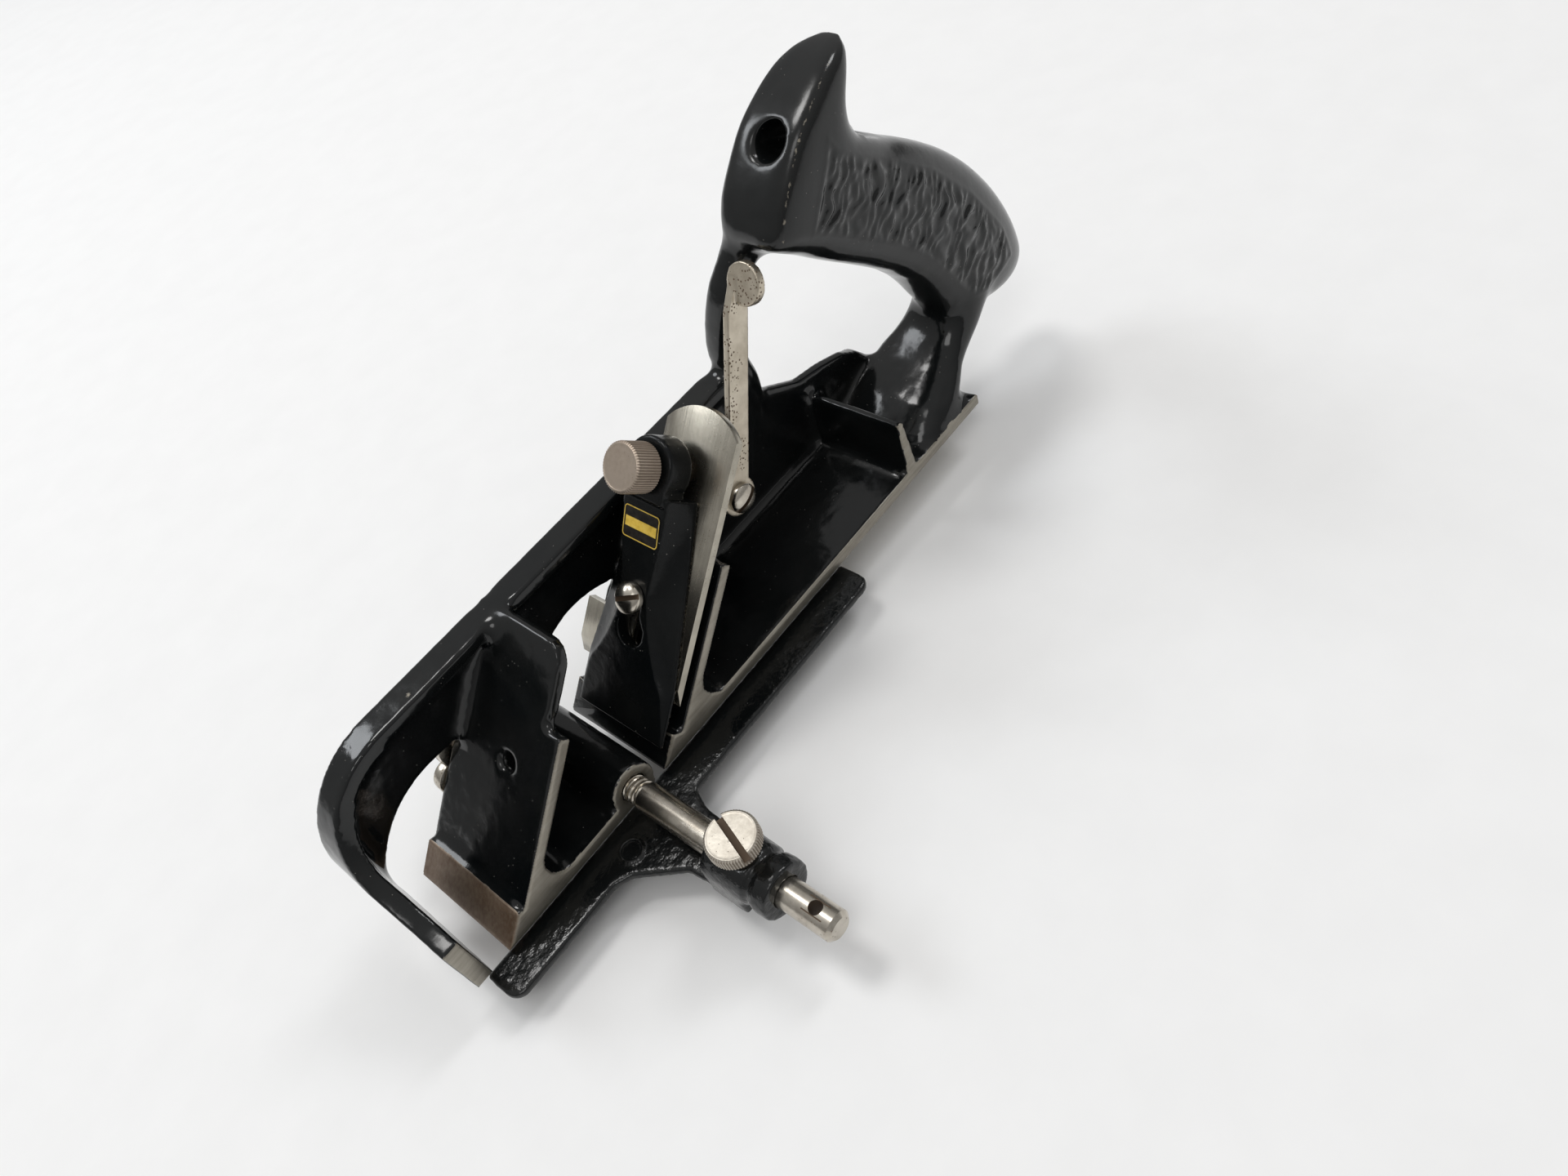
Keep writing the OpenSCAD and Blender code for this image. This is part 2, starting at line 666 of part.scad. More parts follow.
// Outline of the fence's flange and arm in plan
module fence_plan() {
  x1 = toe_x - fence_front;
  x0 = x1 - fence_len;
  y1 = fence_y0 + flange_w;
  end_r = 4;
  root = 17;
  tip = fence_boss_d / 2;
  translate([x0, fence_y0]) square([fence_len, flange_w - end_r]);
  translate([x0 + end_r, fence_y0]) square([fence_len - 2 * end_r, flange_w]);
  translate([x0 + end_r, y1 - end_r]) circle(end_r);
  translate([x1 - end_r, y1 - end_r]) circle(end_r);
  polygon([
    [rod_x + root + 6, y1 - over], [rod_x + root, y1 + 2], [rod_x + tip, boss_y0 - 8], [rod_x + tip - 1, boss_y0 + 2],
    [rod_x - tip + 1, boss_y0 + 2], [rod_x - tip, y1 + 6], [rod_x - tip - 3, y1 - over]
  ]);
}

// Fence: guiding wall, flange, arm and the boss that slides on the rod
module fence() {
  collar_y0 = boss_y1 - 5;
  groove_len = 2;
  groove_sink = 0.9;
  color(iron) difference() {
    union() {
      translate([0, 0, flange_top - fence_t]) linear_extrude(fence_t) fence_plan();
      translate([toe_x - fence_front - fence_len, fence_y0, flange_top - fence_h])
        cube([fence_len, fence_t, fence_h]);
      bar_y(rod_x, rod_z, fence_boss_d, boss_y0, boss_y1);
      translate([rod_x - fence_boss_d / 2, boss_y0, flange_top - fence_t])
        cube([fence_boss_d, fence_boss_len * 0.55, rod_z - flange_top + fence_t]);
      translate([rod_x + 12, fence_y0 + flange_w * 0.8, flange_top]) cylinder(d = 6, h = 0.6);
    }
    difference() {
      bar_y(rod_x, rod_z, fence_boss_d + 2 * over, collar_y0 - groove_len, collar_y0);
      bar_y(rod_x, rod_z, fence_boss_d - 2 * groove_sink, collar_y0 - groove_len - over, collar_y0 + over);
    }
    bar_y(rod_x, rod_z, rod_d + 2 * run_gap, boss_y0 - over, boss_y1 + over);
    translate([rod_x, fence_screw_y, rod_z]) cylinder(d = fence_thread_d + 2 * run_gap, h = fence_boss_d);
  }
}

// Fence rod: threaded inner end, plain bar, chamfered outer end with a cross hole
module fence_rod() {
  bevel = 1;
  thread_start = rod_hole_end + face_gap;
  color(bright) difference() {
    union() {
      bar_y(rod_x, rod_z, rod_thread_d, thread_start, shoulder_y);
      bar_y(rod_x, rod_z, rod_d, shoulder_y, rod_end_y - bevel);
      translate([rod_x, rod_end_y - bevel, rod_z]) rotate([-90, 0, 0])
        cylinder(d1 = rod_d, d2 = rod_d - 2 * bevel, h = bevel);
    }
    translate([rod_x, tommy_y, rod_z]) cylinder(d = tommy_d, h = 2 * rod_d, center = true);
  }
}

// Slotted thumb screw that locks the fence on its rod
module fence_thumb_screw() {
  slot_w = 1.8;
  tip_z = rod_z + rod_d / 2 + face_gap;
  color(bright) translate([rod_x, fence_screw_y, 0]) difference() {
    union() {
      translate([0, 0, tip_z]) cylinder(d = fence_thread_d, h = fence_knob_z - tip_z);
      translate([0, 0, fence_knob_z]) knob(fence_knob_d, fence_knob_h, fence_thread_d + 3, 1.5);
    }
    rotate(-35) translate([-fence_knob_d, -slot_w / 2, fence_knob_z + fence_knob_h - 2])
      cube([2 * fence_knob_d, slot_w, 2 + over]);
  }
}

// Depth stop: slotted upright on the wall, with a foot that rests on the work
module depth_stop() {
  slot_d = stop_thread_d + 2 * slot_gap;
  front_x = stop_x + stop_w / 2 + stop_wing;
  color(bright) {
    across(stop_out - stop_t, stop_out) difference() {
      union() {
        translate([stop_x - stop_w / 2, stop_lift]) square([stop_w, stop_h - stop_w / 2]);
        translate([stop_x, stop_lift + stop_h - stop_w / 2]) circle(d = stop_w);
        translate([stop_x, stop_lift]) square([stop_w / 2 + stop_wing, stop_wing_h - stop_wing]);
        translate([stop_x, stop_lift]) square([stop_w / 2, stop_wing_h]);
        translate([front_x - stop_wing, stop_lift + stop_wing_h - stop_wing]) circle(stop_wing);
      }
      translate([stop_x, stop_z]) circle(d = slot_d);
      translate([stop_x - slot_d / 2, stop_z]) square([slot_d, stop_travel]);
      translate([stop_x, stop_z + stop_travel]) circle(d = slot_d);
    }
    translate([front_x - stop_foot_len, stop_out - stop_foot_w, stop_lift])
      cube([stop_foot_len, stop_foot_w, stop_foot_t]);
  }
}

// Washer under the depth stop's thumb screw
module depth_stop_washer() {
  y1 = stop_out - stop_t - face_gap;
  color(bright) difference() {
    bar_y(stop_x, stop_z, stop_thread_d * 2, y1 - washer_t, y1);
    bar_y(stop_x, stop_z, stop_thread_d + 2 * run_gap, y1 - washer_t - over, y1 + over);
  }
}

// Knurled screw that locks the depth stop
module depth_stop_screw() {
  seat_y = stop_out - stop_t - washer_t - 2 * face_gap;
  color(bright) {
    bar_y(stop_x, stop_z, stop_thread_d, seat_y, web_in_y + stop_boss_len);
    translate([stop_x, seat_y, stop_z]) rotate([90, 0, 0])
      translate([0, 0, 1.5]) knob(stop_knob_d, stop_knob_len, stop_thread_d + 3, 1.5);
  }
}

// Spur: three cutting lobes and one blank side, let level into the wall
module spur() {
  lobe_r = 2.2;
  color(bright) difference() {
    across(right_y, right_y + spur_t) translate([rod_x, rod_z]) {
      circle(spur_hub_r);
      for (a = [0, 90, 180]) rotate(a) {
        translate([spur_r - lobe_r, 0]) circle(lobe_r);
        translate([0, -lobe_r]) square([spur_r - lobe_r, 2 * lobe_r]);
      }
    }
    sunk_screw(run_gap);
  }
}

// Countersunk screw shape at the spur, grown all round by a clearance
module sunk_screw(gap) {
  head_d = spur_d + 2.6;
  translate([rod_x, right_y, rod_z]) rotate([-90, 0, 0]) {
    cylinder(d1 = head_d + 2 * gap, d2 = spur_d + 2 * gap, h = spur_t);
    cylinder(d = spur_d + 2 * gap, h = spur_screw_len);
  }
}

// Countersunk screw that locks the spur
module spur_screw() {
  slot_w = 0.9;
  slot_d = 0.8;
  color(bright) difference() {
    sunk_screw(0);
    translate([rod_x - spur_d, right_y - over, rod_z - slot_w / 2]) cube([2 * spur_d, slot_d + over, slot_w]);
  }
}

body();
cutter();
lever_cap();
cap_thumb_screw();
cap_holding_screw();
adjusting_lever();
lever_pivot_screw();
fence();
fence_rod();
fence_thumb_screw();
depth_stop();
depth_stop_washer();
depth_stop_screw();
spur();
spur_screw();
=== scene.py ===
import math
import bpy
import bmesh
import numpy as np
from mathutils import Vector, Matrix, noise


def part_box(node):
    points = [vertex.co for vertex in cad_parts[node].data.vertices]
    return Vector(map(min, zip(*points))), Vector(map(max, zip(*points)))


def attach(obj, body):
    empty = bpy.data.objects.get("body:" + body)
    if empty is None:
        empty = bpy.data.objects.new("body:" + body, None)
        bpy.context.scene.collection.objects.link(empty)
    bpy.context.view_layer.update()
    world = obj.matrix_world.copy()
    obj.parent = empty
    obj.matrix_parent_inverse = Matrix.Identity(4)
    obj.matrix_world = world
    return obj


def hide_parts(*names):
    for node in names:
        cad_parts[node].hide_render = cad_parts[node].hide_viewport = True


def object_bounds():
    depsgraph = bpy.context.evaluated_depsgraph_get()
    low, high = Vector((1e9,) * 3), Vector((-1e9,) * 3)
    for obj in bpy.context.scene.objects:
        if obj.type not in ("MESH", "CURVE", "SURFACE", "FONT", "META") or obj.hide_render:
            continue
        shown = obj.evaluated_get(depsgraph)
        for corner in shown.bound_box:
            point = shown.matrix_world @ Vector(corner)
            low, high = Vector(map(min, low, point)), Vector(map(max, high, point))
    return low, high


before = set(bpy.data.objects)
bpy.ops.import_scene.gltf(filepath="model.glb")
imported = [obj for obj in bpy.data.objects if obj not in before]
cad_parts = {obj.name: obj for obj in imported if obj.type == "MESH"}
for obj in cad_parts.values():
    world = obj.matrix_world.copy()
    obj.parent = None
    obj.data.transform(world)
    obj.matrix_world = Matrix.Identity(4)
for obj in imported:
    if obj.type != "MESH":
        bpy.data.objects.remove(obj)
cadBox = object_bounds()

mm = 0.001
cos45 = math.sqrt(0.5)  # both cutter beds lean at 45 degrees
scene = bpy.context.scene
print("frame loaded")


# stage: camera, floor, world and lamps
stageSet = dict(
    cameraAt=(0.09401, 0.19860, 0.24741), cameraTurn=(39.3726, 16.0079, 129.7483), lens=27.04, sensor=36.0,
    nearClip=0.01, floorHalf=8.0, floorTone=0.92, floorVary=0.01, floorGrain=60.0,
    floorRough=0.9, floorShine=0.1,
    skyTone=(1.0, 0.995, 0.985), skyLow=0.25, skyHigh=0.51, skyRise=0.8, lampAim=(0, 0, 0.03),
    # lamp: name, place, width, height, power, tone
    lamps=(
        ("overhead", (0.04, -0.70, 2.10), 0.60, 0.60, 11.0, (1.0, 0.99, 0.975)),
        ("windowSide", (-1.45, 0.20, 1.90), 0.45, 0.80, 7.4, (0.985, 0.99, 1.0)),
        ("frontFill", (1.05, 0.85, 2.10), 0.90, 0.90, 6.6, (1.0, 0.995, 0.985)),
        ("sidePanel", (0.44, -1.34, 1.33), 0.80, 0.58, 7.4, (0.93, 0.965, 1.0)),
    ),
)


def buildStage(s, floorZ):
    cam = bpy.data.cameras.new("photoCamera")
    cam.lens = s["lens"]
    cam.sensor_width = s["sensor"]
    cam.clip_start = s["nearClip"]
    camOb = bpy.data.objects.new("photoCamera", cam)
    camOb.location = s["cameraAt"]
    camOb.rotation_euler = [math.radians(a) for a in s["cameraTurn"]]
    scene.collection.objects.link(camOb)
    scene.camera = camOb
    h = s["floorHalf"]
    corners = [(-h, -h, floorZ), (h, -h, floorZ), (h, h, floorZ), (-h, h, floorZ)]
    floor = meshPiece("floor", corners, [(0, 1, 2, 3)])
    mat, tree, bsdf = newMaterial("palePaper")
    paper = noiseFac(tree, objectPlace(tree), s["floorGrain"], 3.0)
    dark, pale = [(s["floorTone"] + vary,) * 3 for vary in (-s["floorVary"], s["floorVary"])]
    feed(tree, bsdf, {
        "Base Color": ramp(tree, paper, (0.3, dark), (0.7, pale)), "Roughness": s["floorRough"],
        "Specular IOR Level": s["floorShine"]})
    floor.data.materials.append(mat)
    world = bpy.data.worlds.new("softRoom")
    world.use_nodes = True
    scene.world = world
    # the room is darker low down than overhead
    sky = world.node_tree
    look = addNode(sky, "ShaderNodeTexCoord").outputs["Generated"]
    height = addNode(sky, "ShaderNodeSeparateXYZ", {0: look}).outputs["Z"]
    level = mapRange(sky, height, (0.0, s["skyRise"]), (s["skyLow"], s["skyHigh"]))
    feed(sky, sky.nodes["Background"], {"Color": s["skyTone"], "Strength": level})
    for name, at, wide, tall, power, tone in s["lamps"]:
        lamp = bpy.data.lights.new(name, "AREA")
        lamp.shape = "ELLIPSE"
        lamp.size = wide
        lamp.size_y = tall
        lamp.energy = power
        lamp.color = tone
        lampOb = bpy.data.objects.new(name, lamp)
        lampOb.location = at
        lampOb.rotation_euler = (Vector(s["lampAim"]) - Vector(at)).to_track_quat("-Z", "Y").to_euler()
        scene.collection.objects.link(lampOb)
    scene.view_settings.view_transform = "Standard"


# node helpers
def newMaterial(name):
    mat = bpy.data.materials.new(name)
    mat.use_nodes = True
    return mat, mat.node_tree, mat.node_tree.nodes["Principled BSDF"]


def feed(tree, node, values):
    # sockets are linked, other values become the defaults
    for label, value in values.items():
        socket = node.inputs[label]
        if isinstance(value, bpy.types.NodeSocket):
            tree.links.new(value, socket)
        else:
            socket.default_value = (*value, 1) if socket.type == "RGBA" else value
    return node


def addNode(tree, kind, values=None, **settings):
    node = tree.nodes.new(kind)
    for name, value in settings.items():
        setattr(node, name, value)
    return feed(tree, node, values or {})


def calc(tree, operation, *values, clamp=False):
    inputs = dict(enumerate(values))
    return addNode(tree, "ShaderNodeMath", inputs, operation=operation, use_clamp=clamp).outputs[0]


def vectorCalc(tree, operation, values):
    return addNode(tree, "ShaderNodeVectorMath", values, operation=operation).outputs


def objectPlace(tree):
    return addNode(tree, "ShaderNodeTexCoord").outputs["Object"]


def noiseFac(tree, at, scale, detail, rough=0.55):
    values = {"Vector": at, "Scale": scale, "Detail": detail, "Roughness": rough}
    return addNode(tree, "ShaderNodeTexNoise", values).outputs["Fac"]


def ramp(tree, fac, *stops):
    node = addNode(tree, "ShaderNodeValToRGB", {"Fac": fac})
    band = node.color_ramp
    while len(band.elements) < len(stops):
        band.elements.new(0.5)
    for e, (at, tone) in zip(band.elements, stops):
        e.position = at
        e.color = (*tone, 1)
    return node.outputs["Color"]


def mapRange(tree, value, source, target):
    values = {"Value": value, "From Min": source[0], "From Max": source[1]}
    values.update({"To Min": target[0], "To Max": target[1]})
    return addNode(tree, "ShaderNodeMapRange", values).outputs["Result"]


def mixColor(tree, fac, a, b):
    return addNode(tree, "ShaderNodeMix", {0: fac, 6: a, 7: b}, data_type="RGBA").outputs[2]


def mixValue(tree, fac, a, b):
    return addNode(tree, "ShaderNodeMix", {0: fac, 2: a, 3: b}, data_type="FLOAT").outputs[0]


def attributeFac(tree, name):
    return addNode(tree, "ShaderNodeAttribute", attribute_name=name).outputs["Fac"]


def bumpNormal(tree, height, strength, distance):
    values = {"Height": height, "Strength": strength, "Distance": distance}
    return addNode(tree, "ShaderNodeBump", values).outputs["Normal"]


def groupTree(name, kind, inputs, outputs):
    tree = bpy.data.node_groups.new(name, kind)
    for label, socketKind, value in inputs:
        socket = tree.interface.new_socket(label, in_out="INPUT", socket_type="NodeSocket" + socketKind)
        if value is not None:
            socket.default_value = value
    for label, socketKind in outputs:
        tree.interface.new_socket(label, in_out="OUTPUT", socket_type="NodeSocket" + socketKind)
    return tree, addNode(tree, "NodeGroupInput").outputs, addNode(tree, "NodeGroupOutput")


def useGroup(tree, group, **values):
    return addNode(tree, "ShaderNodeGroup", values, node_tree=group).outputs


# shared surface effects
def buildEdgeWear(breakDetail=4.0, breakRough=0.65, breakReach=1.3, sharpness=6.0):
    tree, given, result = groupTree(
        "edgeWear", "ShaderNodeTree",
        (("Wear", "Float", 0.0), ("Amount", "Float", 0.5), ("Breakup", "Float", 900.0)), (("Mask", "Float"),))
    ragged = noiseFac(tree, objectPlace(tree), given["Breakup"], breakDetail, breakRough)
    ragged = calc(tree, "MULTIPLY", calc(tree, "SUBTRACT", ragged, 0.5), breakReach)
    both = calc(tree, "ADD", ragged, given["Wear"])
    over = calc(tree, "SUBTRACT", both, calc(tree, "SUBTRACT", 1.0, given["Amount"]))
    feed(tree, result, {"Mask": calc(tree, "MULTIPLY", over, sharpness, clamp=True)})
    return tree


def buildSpecks(patchScale=90.0):
    tree, given, result = groupTree(
        "specks", "ShaderNodeTree",
        (("Scale", "Float", 700.0), ("Size", "Float", 0.12), ("Patches", "Float", 0.5)), (("Mask", "Float"),))
    at = objectPlace(tree)
    cells = addNode(tree, "ShaderNodeTexVoronoi", {"Vector": at, "Scale": given["Scale"], "Randomness": 1.0})
    small = calc(tree, "LESS_THAN", cells.outputs["Distance"], given["Size"])
    here = calc(tree, "GREATER_THAN", noiseFac(tree, at, patchScale, 2.0), given["Patches"])
    feed(tree, result, {"Mask": calc(tree, "MULTIPLY", small, here)})
    return tree


def buildBrushed(stainScale=130.0):
    tree, given, result = groupTree(
        "brushed", "ShaderNodeTree",
        (("Across", "Vector", (40.0, 1500.0, 1500.0)), ("Turn", "Vector", (0.0, 0.0, 0.0))),
        (("Streak", "Float"), ("Stain", "Float")))
    at = objectPlace(tree)
    values = {"Vector": at, "Rotation": given["Turn"]}
    aligned = addNode(tree, "ShaderNodeVectorRotate", values, rotation_type="EULER_XYZ")
    values = {"Vector": aligned.outputs["Vector"], "Scale": given["Across"]}
    drawn = addNode(tree, "ShaderNodeMapping", values)
    streak = noiseFac(tree, drawn.outputs["Vector"], 1.0, 3.0, 0.6)
    feed(tree, result, {"Streak": streak, "Stain": noiseFac(tree, at, stainScale, 5.0, 0.6)})
    return tree


edgeWear = buildEdgeWear()
specks = buildSpecks()
brushed = buildBrushed()
print("surface effects ready")


# finishes
castSet = dict(
    black=(0.0035, 0.0045, 0.005), blackWarm=(0.0075, 0.008, 0.0078), toneScale=55.0,
    dust=(0.16, 0.155, 0.14), dustScale=520.0, dustPatches=0.47,
    worn=(0.050, 0.042, 0.035), wornScale=330.0, wornGain=3.5,
    bare=(0.26, 0.235, 0.195), chipScale=650.0,
    rust=(0.13, 0.075, 0.045), rustScale=260.0, rustSize=0.22, rustPatches=0.58,
    ground=(0.36, 0.335, 0.285), groundDark=(0.23, 0.21, 0.175), groundLines=(45.0, 900.0, 900.0),
    lineShare=0.55, stainShare=0.5, padBrown=(0.125, 0.075, 0.045), padPale=(0.21, 0.155, 0.11),
    wornRough=0.34, rubbedRough=0.22, metalRough=0.46, metalShine=0.9, padShine=0.45, peelDepth=0.2 * mm,
)


def castFinish(name, s, rough, bump, wearAmount, speckSize, peelScale=420.0, specular=0.44):
    mat, tree, bsdf = newMaterial(name)
    at = objectPlace(tree)
    wide = noiseFac(tree, at, s["toneScale"], 4.0)
    tone = ramp(tree, wide, (0.35, s["black"]), (0.72, s["blackWarm"]))
    dust = useGroup(tree, specks, Scale=s["dustScale"], Size=speckSize, Patches=s["dustPatches"])["Mask"]
    paint = mixColor(tree, dust, tone, s["dust"])
    # worn patches where the enamel is thin
    ragged = calc(tree, "ADD", attributeFac(tree, "patch"), noiseFac(tree, at, s["wornScale"], 5.0, 0.7))
    thin = calc(tree, "MULTIPLY_ADD", ragged, s["wornGain"], -s["wornGain"], clamp=True)
    paint = mixColor(tree, thin, paint, s["worn"])
    # bare metal: ground faces from the mesh, and chipped edges
    worn = attributeFac(tree, "wear")
    edge = useGroup(tree, edgeWear, Wear=worn, Amount=wearAmount, Breakup=s["chipScale"])["Mask"]
    line = useGroup(tree, brushed, Across=s["groundLines"])
    stain = calc(tree, "MULTIPLY", line["Stain"], s["stainShare"])
    blend = calc(tree, "MULTIPLY_ADD", line["Streak"], s["lineShare"], stain)
    pad = attributeFac(tree, "pad")
    groundTone = mixColor(
        tree, pad, ramp(tree, blend, (0.30, s["groundDark"]), (0.62, s["ground"])),
        ramp(tree, blend, (0.35, s["padBrown"]), (0.65, s["padPale"])))
    rust = useGroup(tree, specks, Scale=s["rustScale"], Size=s["rustSize"], Patches=s["rustPatches"])["Mask"]
    bareTone = mixColor(tree, rust, s["bare"], s["rust"])
    ground = calc(tree, "MULTIPLY_ADD", attributeFac(tree, "ground"), 5.0, -2.0, clamp=True)
    metal = calc(tree, "MAXIMUM", edge, ground)
    matt = mixValue(tree, thin, mapRange(tree, wide, (0.3, 0.7), rough), s["wornRough"])
    # handled places are duller than the rest of the enamel
    matt = mixValue(tree, attributeFac(tree, "rubbed"), matt, s["rubbedRough"])
    shine = mixValue(tree, pad, s["metalShine"], s["padShine"])
    # orange peel in the enamel, fine lines on the ground faces
    peel = mixValue(tree, ground, noiseFac(tree, at, peelScale, 2.0), line["Streak"])
    feed(tree, bsdf, {
        "Base Color": mixColor(tree, ground, mixColor(tree, edge, paint, bareTone), groundTone),
        "Roughness": mixValue(tree, metal, matt, s["metalRough"]), "Specular IOR Level": specular,
        "Metallic": calc(tree, "MULTIPLY", metal, shine),
        "Normal": bumpNormal(tree, peel, bump, s["peelDepth"])})
    return mat


metalSet = dict(
    lineShare=0.4, stainShare=0.62, lineDepth=0.1 * mm,
    pitScale=1100.0, pitPatches=0.50, pitRough=0.7, pitShine=0.2,
)
platedTone = dict(bright=(0.60, 0.56, 0.49), dull=(0.39, 0.35, 0.295), pit=(0.10, 0.066, 0.04))
leverTone = dict(bright=(0.62, 0.56, 0.46), dull=(0.42, 0.365, 0.285), pit=(0.12, 0.08, 0.05))
knobTone = dict(bright=(0.50, 0.42, 0.345), dull=(0.41, 0.335, 0.27), pit=(0.09, 0.06, 0.038))
steelTone = dict(bright=(0.45, 0.42, 0.355), dull=(0.30, 0.28, 0.235), pit=(0.14, 0.105, 0.07))


def metalFinish(name, tones, rough, pits, across, turn=(0, 0, 0), bump=0.12, s=metalSet):
    mat, tree, bsdf = newMaterial(name)
    line = useGroup(tree, brushed, Across=across, Turn=[math.radians(a) for a in turn])
    stain = calc(tree, "MULTIPLY", line["Stain"], s["stainShare"])
    blend = calc(tree, "MULTIPLY_ADD", line["Streak"], s["lineShare"], stain)
    tone = ramp(tree, blend, (0.32, tones["dull"]), (0.60, tones["bright"]))
    pit = useGroup(tree, specks, Scale=s["pitScale"], Size=pits, Patches=s["pitPatches"])["Mask"]
    # recesses marked on the mesh take the dark pit tone
    recessDark = attributeFac(tree, "recessDark")
    dull = calc(tree, "MAXIMUM", pit, recessDark)
    gloss = mixValue(tree, line["Stain"], rough[1], rough[0])
    feed(tree, bsdf, {
        "Base Color": mixColor(tree, recessDark, mixColor(tree, pit, tone, tones["pit"]), tones["pit"]),
        "Roughness": mixValue(tree, dull, gloss, s["pitRough"]),
        "Metallic": mixValue(tree, dull, 1.0, s["pitShine"]),
        "Normal": bumpNormal(tree, line["Streak"], bump, s["lineDepth"])})
    return mat


labelTone = dict(
    gold=((0.30, (0.60, 0.40, 0.06)), (0.55, (0.78, 0.54, 0.09)), (0.75, (0.80, 0.60, 0.16))),
    field=((0.35, (0.010, 0.009, 0.008)), (0.70, (0.028, 0.024, 0.019))),
    ageScale=700.0, rough=(0.3, 0.5), specular=0.2,
)


def labelFinish(name, s):
    mat, tree, bsdf = newMaterial(name)
    age = noiseFac(tree, objectPlace(tree), s["ageScale"], 4.0)
    gold = attributeFac(tree, "gold")
    feed(tree, bsdf, {
        "Base Color": mixColor(tree, gold, ramp(tree, age, *s["field"]), ramp(tree, age, *s["gold"])),
        "Roughness": mapRange(tree, age, (0.0, 1.0), s["rough"]), "Specular IOR Level": s["specular"]})
    return mat


japanned = castFinish("japannedIron", castSet, (0.10, 0.20), 0.16, 0.36, 0.06)
satinBlack = castFinish("satinBlackIron", castSet, (0.17, 0.30), 0.3, 0.34, 0.085, specular=0.18)
roughBlack = castFinish("roughBlackIron", castSet, (0.13, 0.24), 0.6, 0.30, 0.05, 900.0)
nickel = metalFinish("nickelPlate", platedTone, (0.16, 0.34), 0.16, (500.0, 500.0, 500.0))
pittedNickel = metalFinish("pittedNickel", leverTone, (0.26, 0.42), 0.30, (300.0, 300.0, 300.0), bump=0.25)
turnedNickel = metalFinish("turnedNickel", platedTone, (0.36, 0.50), 0.12, (900.0, 900.0, 900.0), bump=0.3)
warmNickel = metalFinish("warmNickel", knobTone, (0.36, 0.50), 0.10, (900.0, 900.0, 900.0), bump=0.3)
toolSteel = metalFinish("toolSteel", steelTone, (0.20, 0.33), 0.12, (60.0, 1600.0, 60.0), (0, 45, 0), 0.2)
labelPaper = labelFinish("labelPaper", labelTone)
print("finishes ready")


# mesh helpers
def meshPiece(name, verts, faces):
    me = bpy.data.meshes.new(name)
    me.from_pydata([tuple(v) for v in verts], [], [tuple(f) for f in faces])
    me.update()
    ob = bpy.data.objects.new(name, me)
    scene.collection.objects.link(ob)
    return ob


def nodePiece(nodeName, pieceName):
    # the node's solid, with its split corners welded
    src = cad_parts[nodeName].data
    src.calc_loop_triangles()
    co = points(src)
    tri = np.empty(len(src.loop_triangles) * 3, dtype=np.int32)
    src.loop_triangles.foreach_get("vertices", tri)
    grid = np.round(co * 1e6).astype(np.int64)
    _, first, back = np.unique(grid, axis=0, return_index=True, return_inverse=True)
    tri = back.reshape(-1)[tri.reshape(-1, 3)]
    keep = (tri[:, 0] != tri[:, 1]) & (tri[:, 1] != tri[:, 2]) & (tri[:, 0] != tri[:, 2])
    return meshPiece(pieceName, co[first].tolist(), tri[keep].tolist())


def bakeModifiers(ob):
    bpy.context.view_layer.update()
    graph = bpy.context.evaluated_depsgraph_get()
    me = bpy.data.meshes.new_from_object(ob.evaluated_get(graph))
    ob.modifiers.clear()
    old = ob.data
    ob.data = me
    bpy.data.meshes.remove(old)
    return ob


def points(me):
    co = np.empty(len(me.vertices) * 3)
    me.vertices.foreach_get("co", co)
    return co.reshape(-1, 3)


def pointNormals(me):
    out = np.empty(len(me.vertices) * 3)
    me.vertex_normals.foreach_get("vector", out)
    return out.reshape(-1, 3)


def edgePairs(me):
    out = np.empty(len(me.edges) * 2, dtype=np.int32)
    me.edges.foreach_get("vertices", out)
    return out.reshape(-1, 2)


def setPoints(me, co):
    me.vertices.foreach_set("co", co.reshape(-1))
    me.update()


def setFloat(me, name, values):
    a = me.attributes.get(name) or me.attributes.new(name, "FLOAT", "POINT")
    a.data.foreach_set("value", np.asarray(values, dtype=np.float32))


def rise(values, start, width):
    # grows from 0 to 1 over the width
    return np.clip((values - start) / width, 0, 1)


def neighbourMean(values, ed, count):
    a, b = ed[:, 0], ed[:, 1]
    n = len(count)
    return (np.bincount(a, values[b], n) + np.bincount(b, values[a], n)) / count


def degree(ed, n):
    return np.maximum(np.bincount(ed[:, 0], minlength=n) + np.bincount(ed[:, 1], minlength=n), 1)


def pointMean(co, ed, count):
    return np.stack([neighbourMean(co[:, k], ed, count) for k in range(3)], 1)


def relax(co, ed, weight, rounds):
    count = degree(ed, len(co))
    for _ in range(rounds):
        co = co + (pointMean(co, ed, count) - co) * weight[:, None]
    return co


def spread(values, ed, rounds):
    count = degree(ed, len(values))
    for _ in range(rounds):
        values = 0.5 * values + 0.5 * neighbourMean(values, ed, count)
    return values


def bending(co, nor, ed, voxel):
    # above zero on outer edges, below zero in inner corners
    mean = pointMean(co, ed, degree(ed, len(co)))
    return -np.einsum("ij,ij->i", mean - co, nor) / voxel


def convexEdges(co, nor, ed, voxel):
    return rise(spread(bending(co, nor, ed, voxel), ed, 2), 0.02, 0.16)


def noiseField(co, size, seed=0.0):
    off = Vector((seed, seed * 1.7, seed * 0.6))
    return np.array([noise.noise(Vector(p) / size + off) for p in co.tolist()])


def castSkin(ob, voxel):
    m = ob.modifiers.new("cast", "REMESH")
    m.mode = "VOXEL"
    m.voxel_size = voxel
    m.adaptivity = 0.0
    return bakeModifiers(ob)


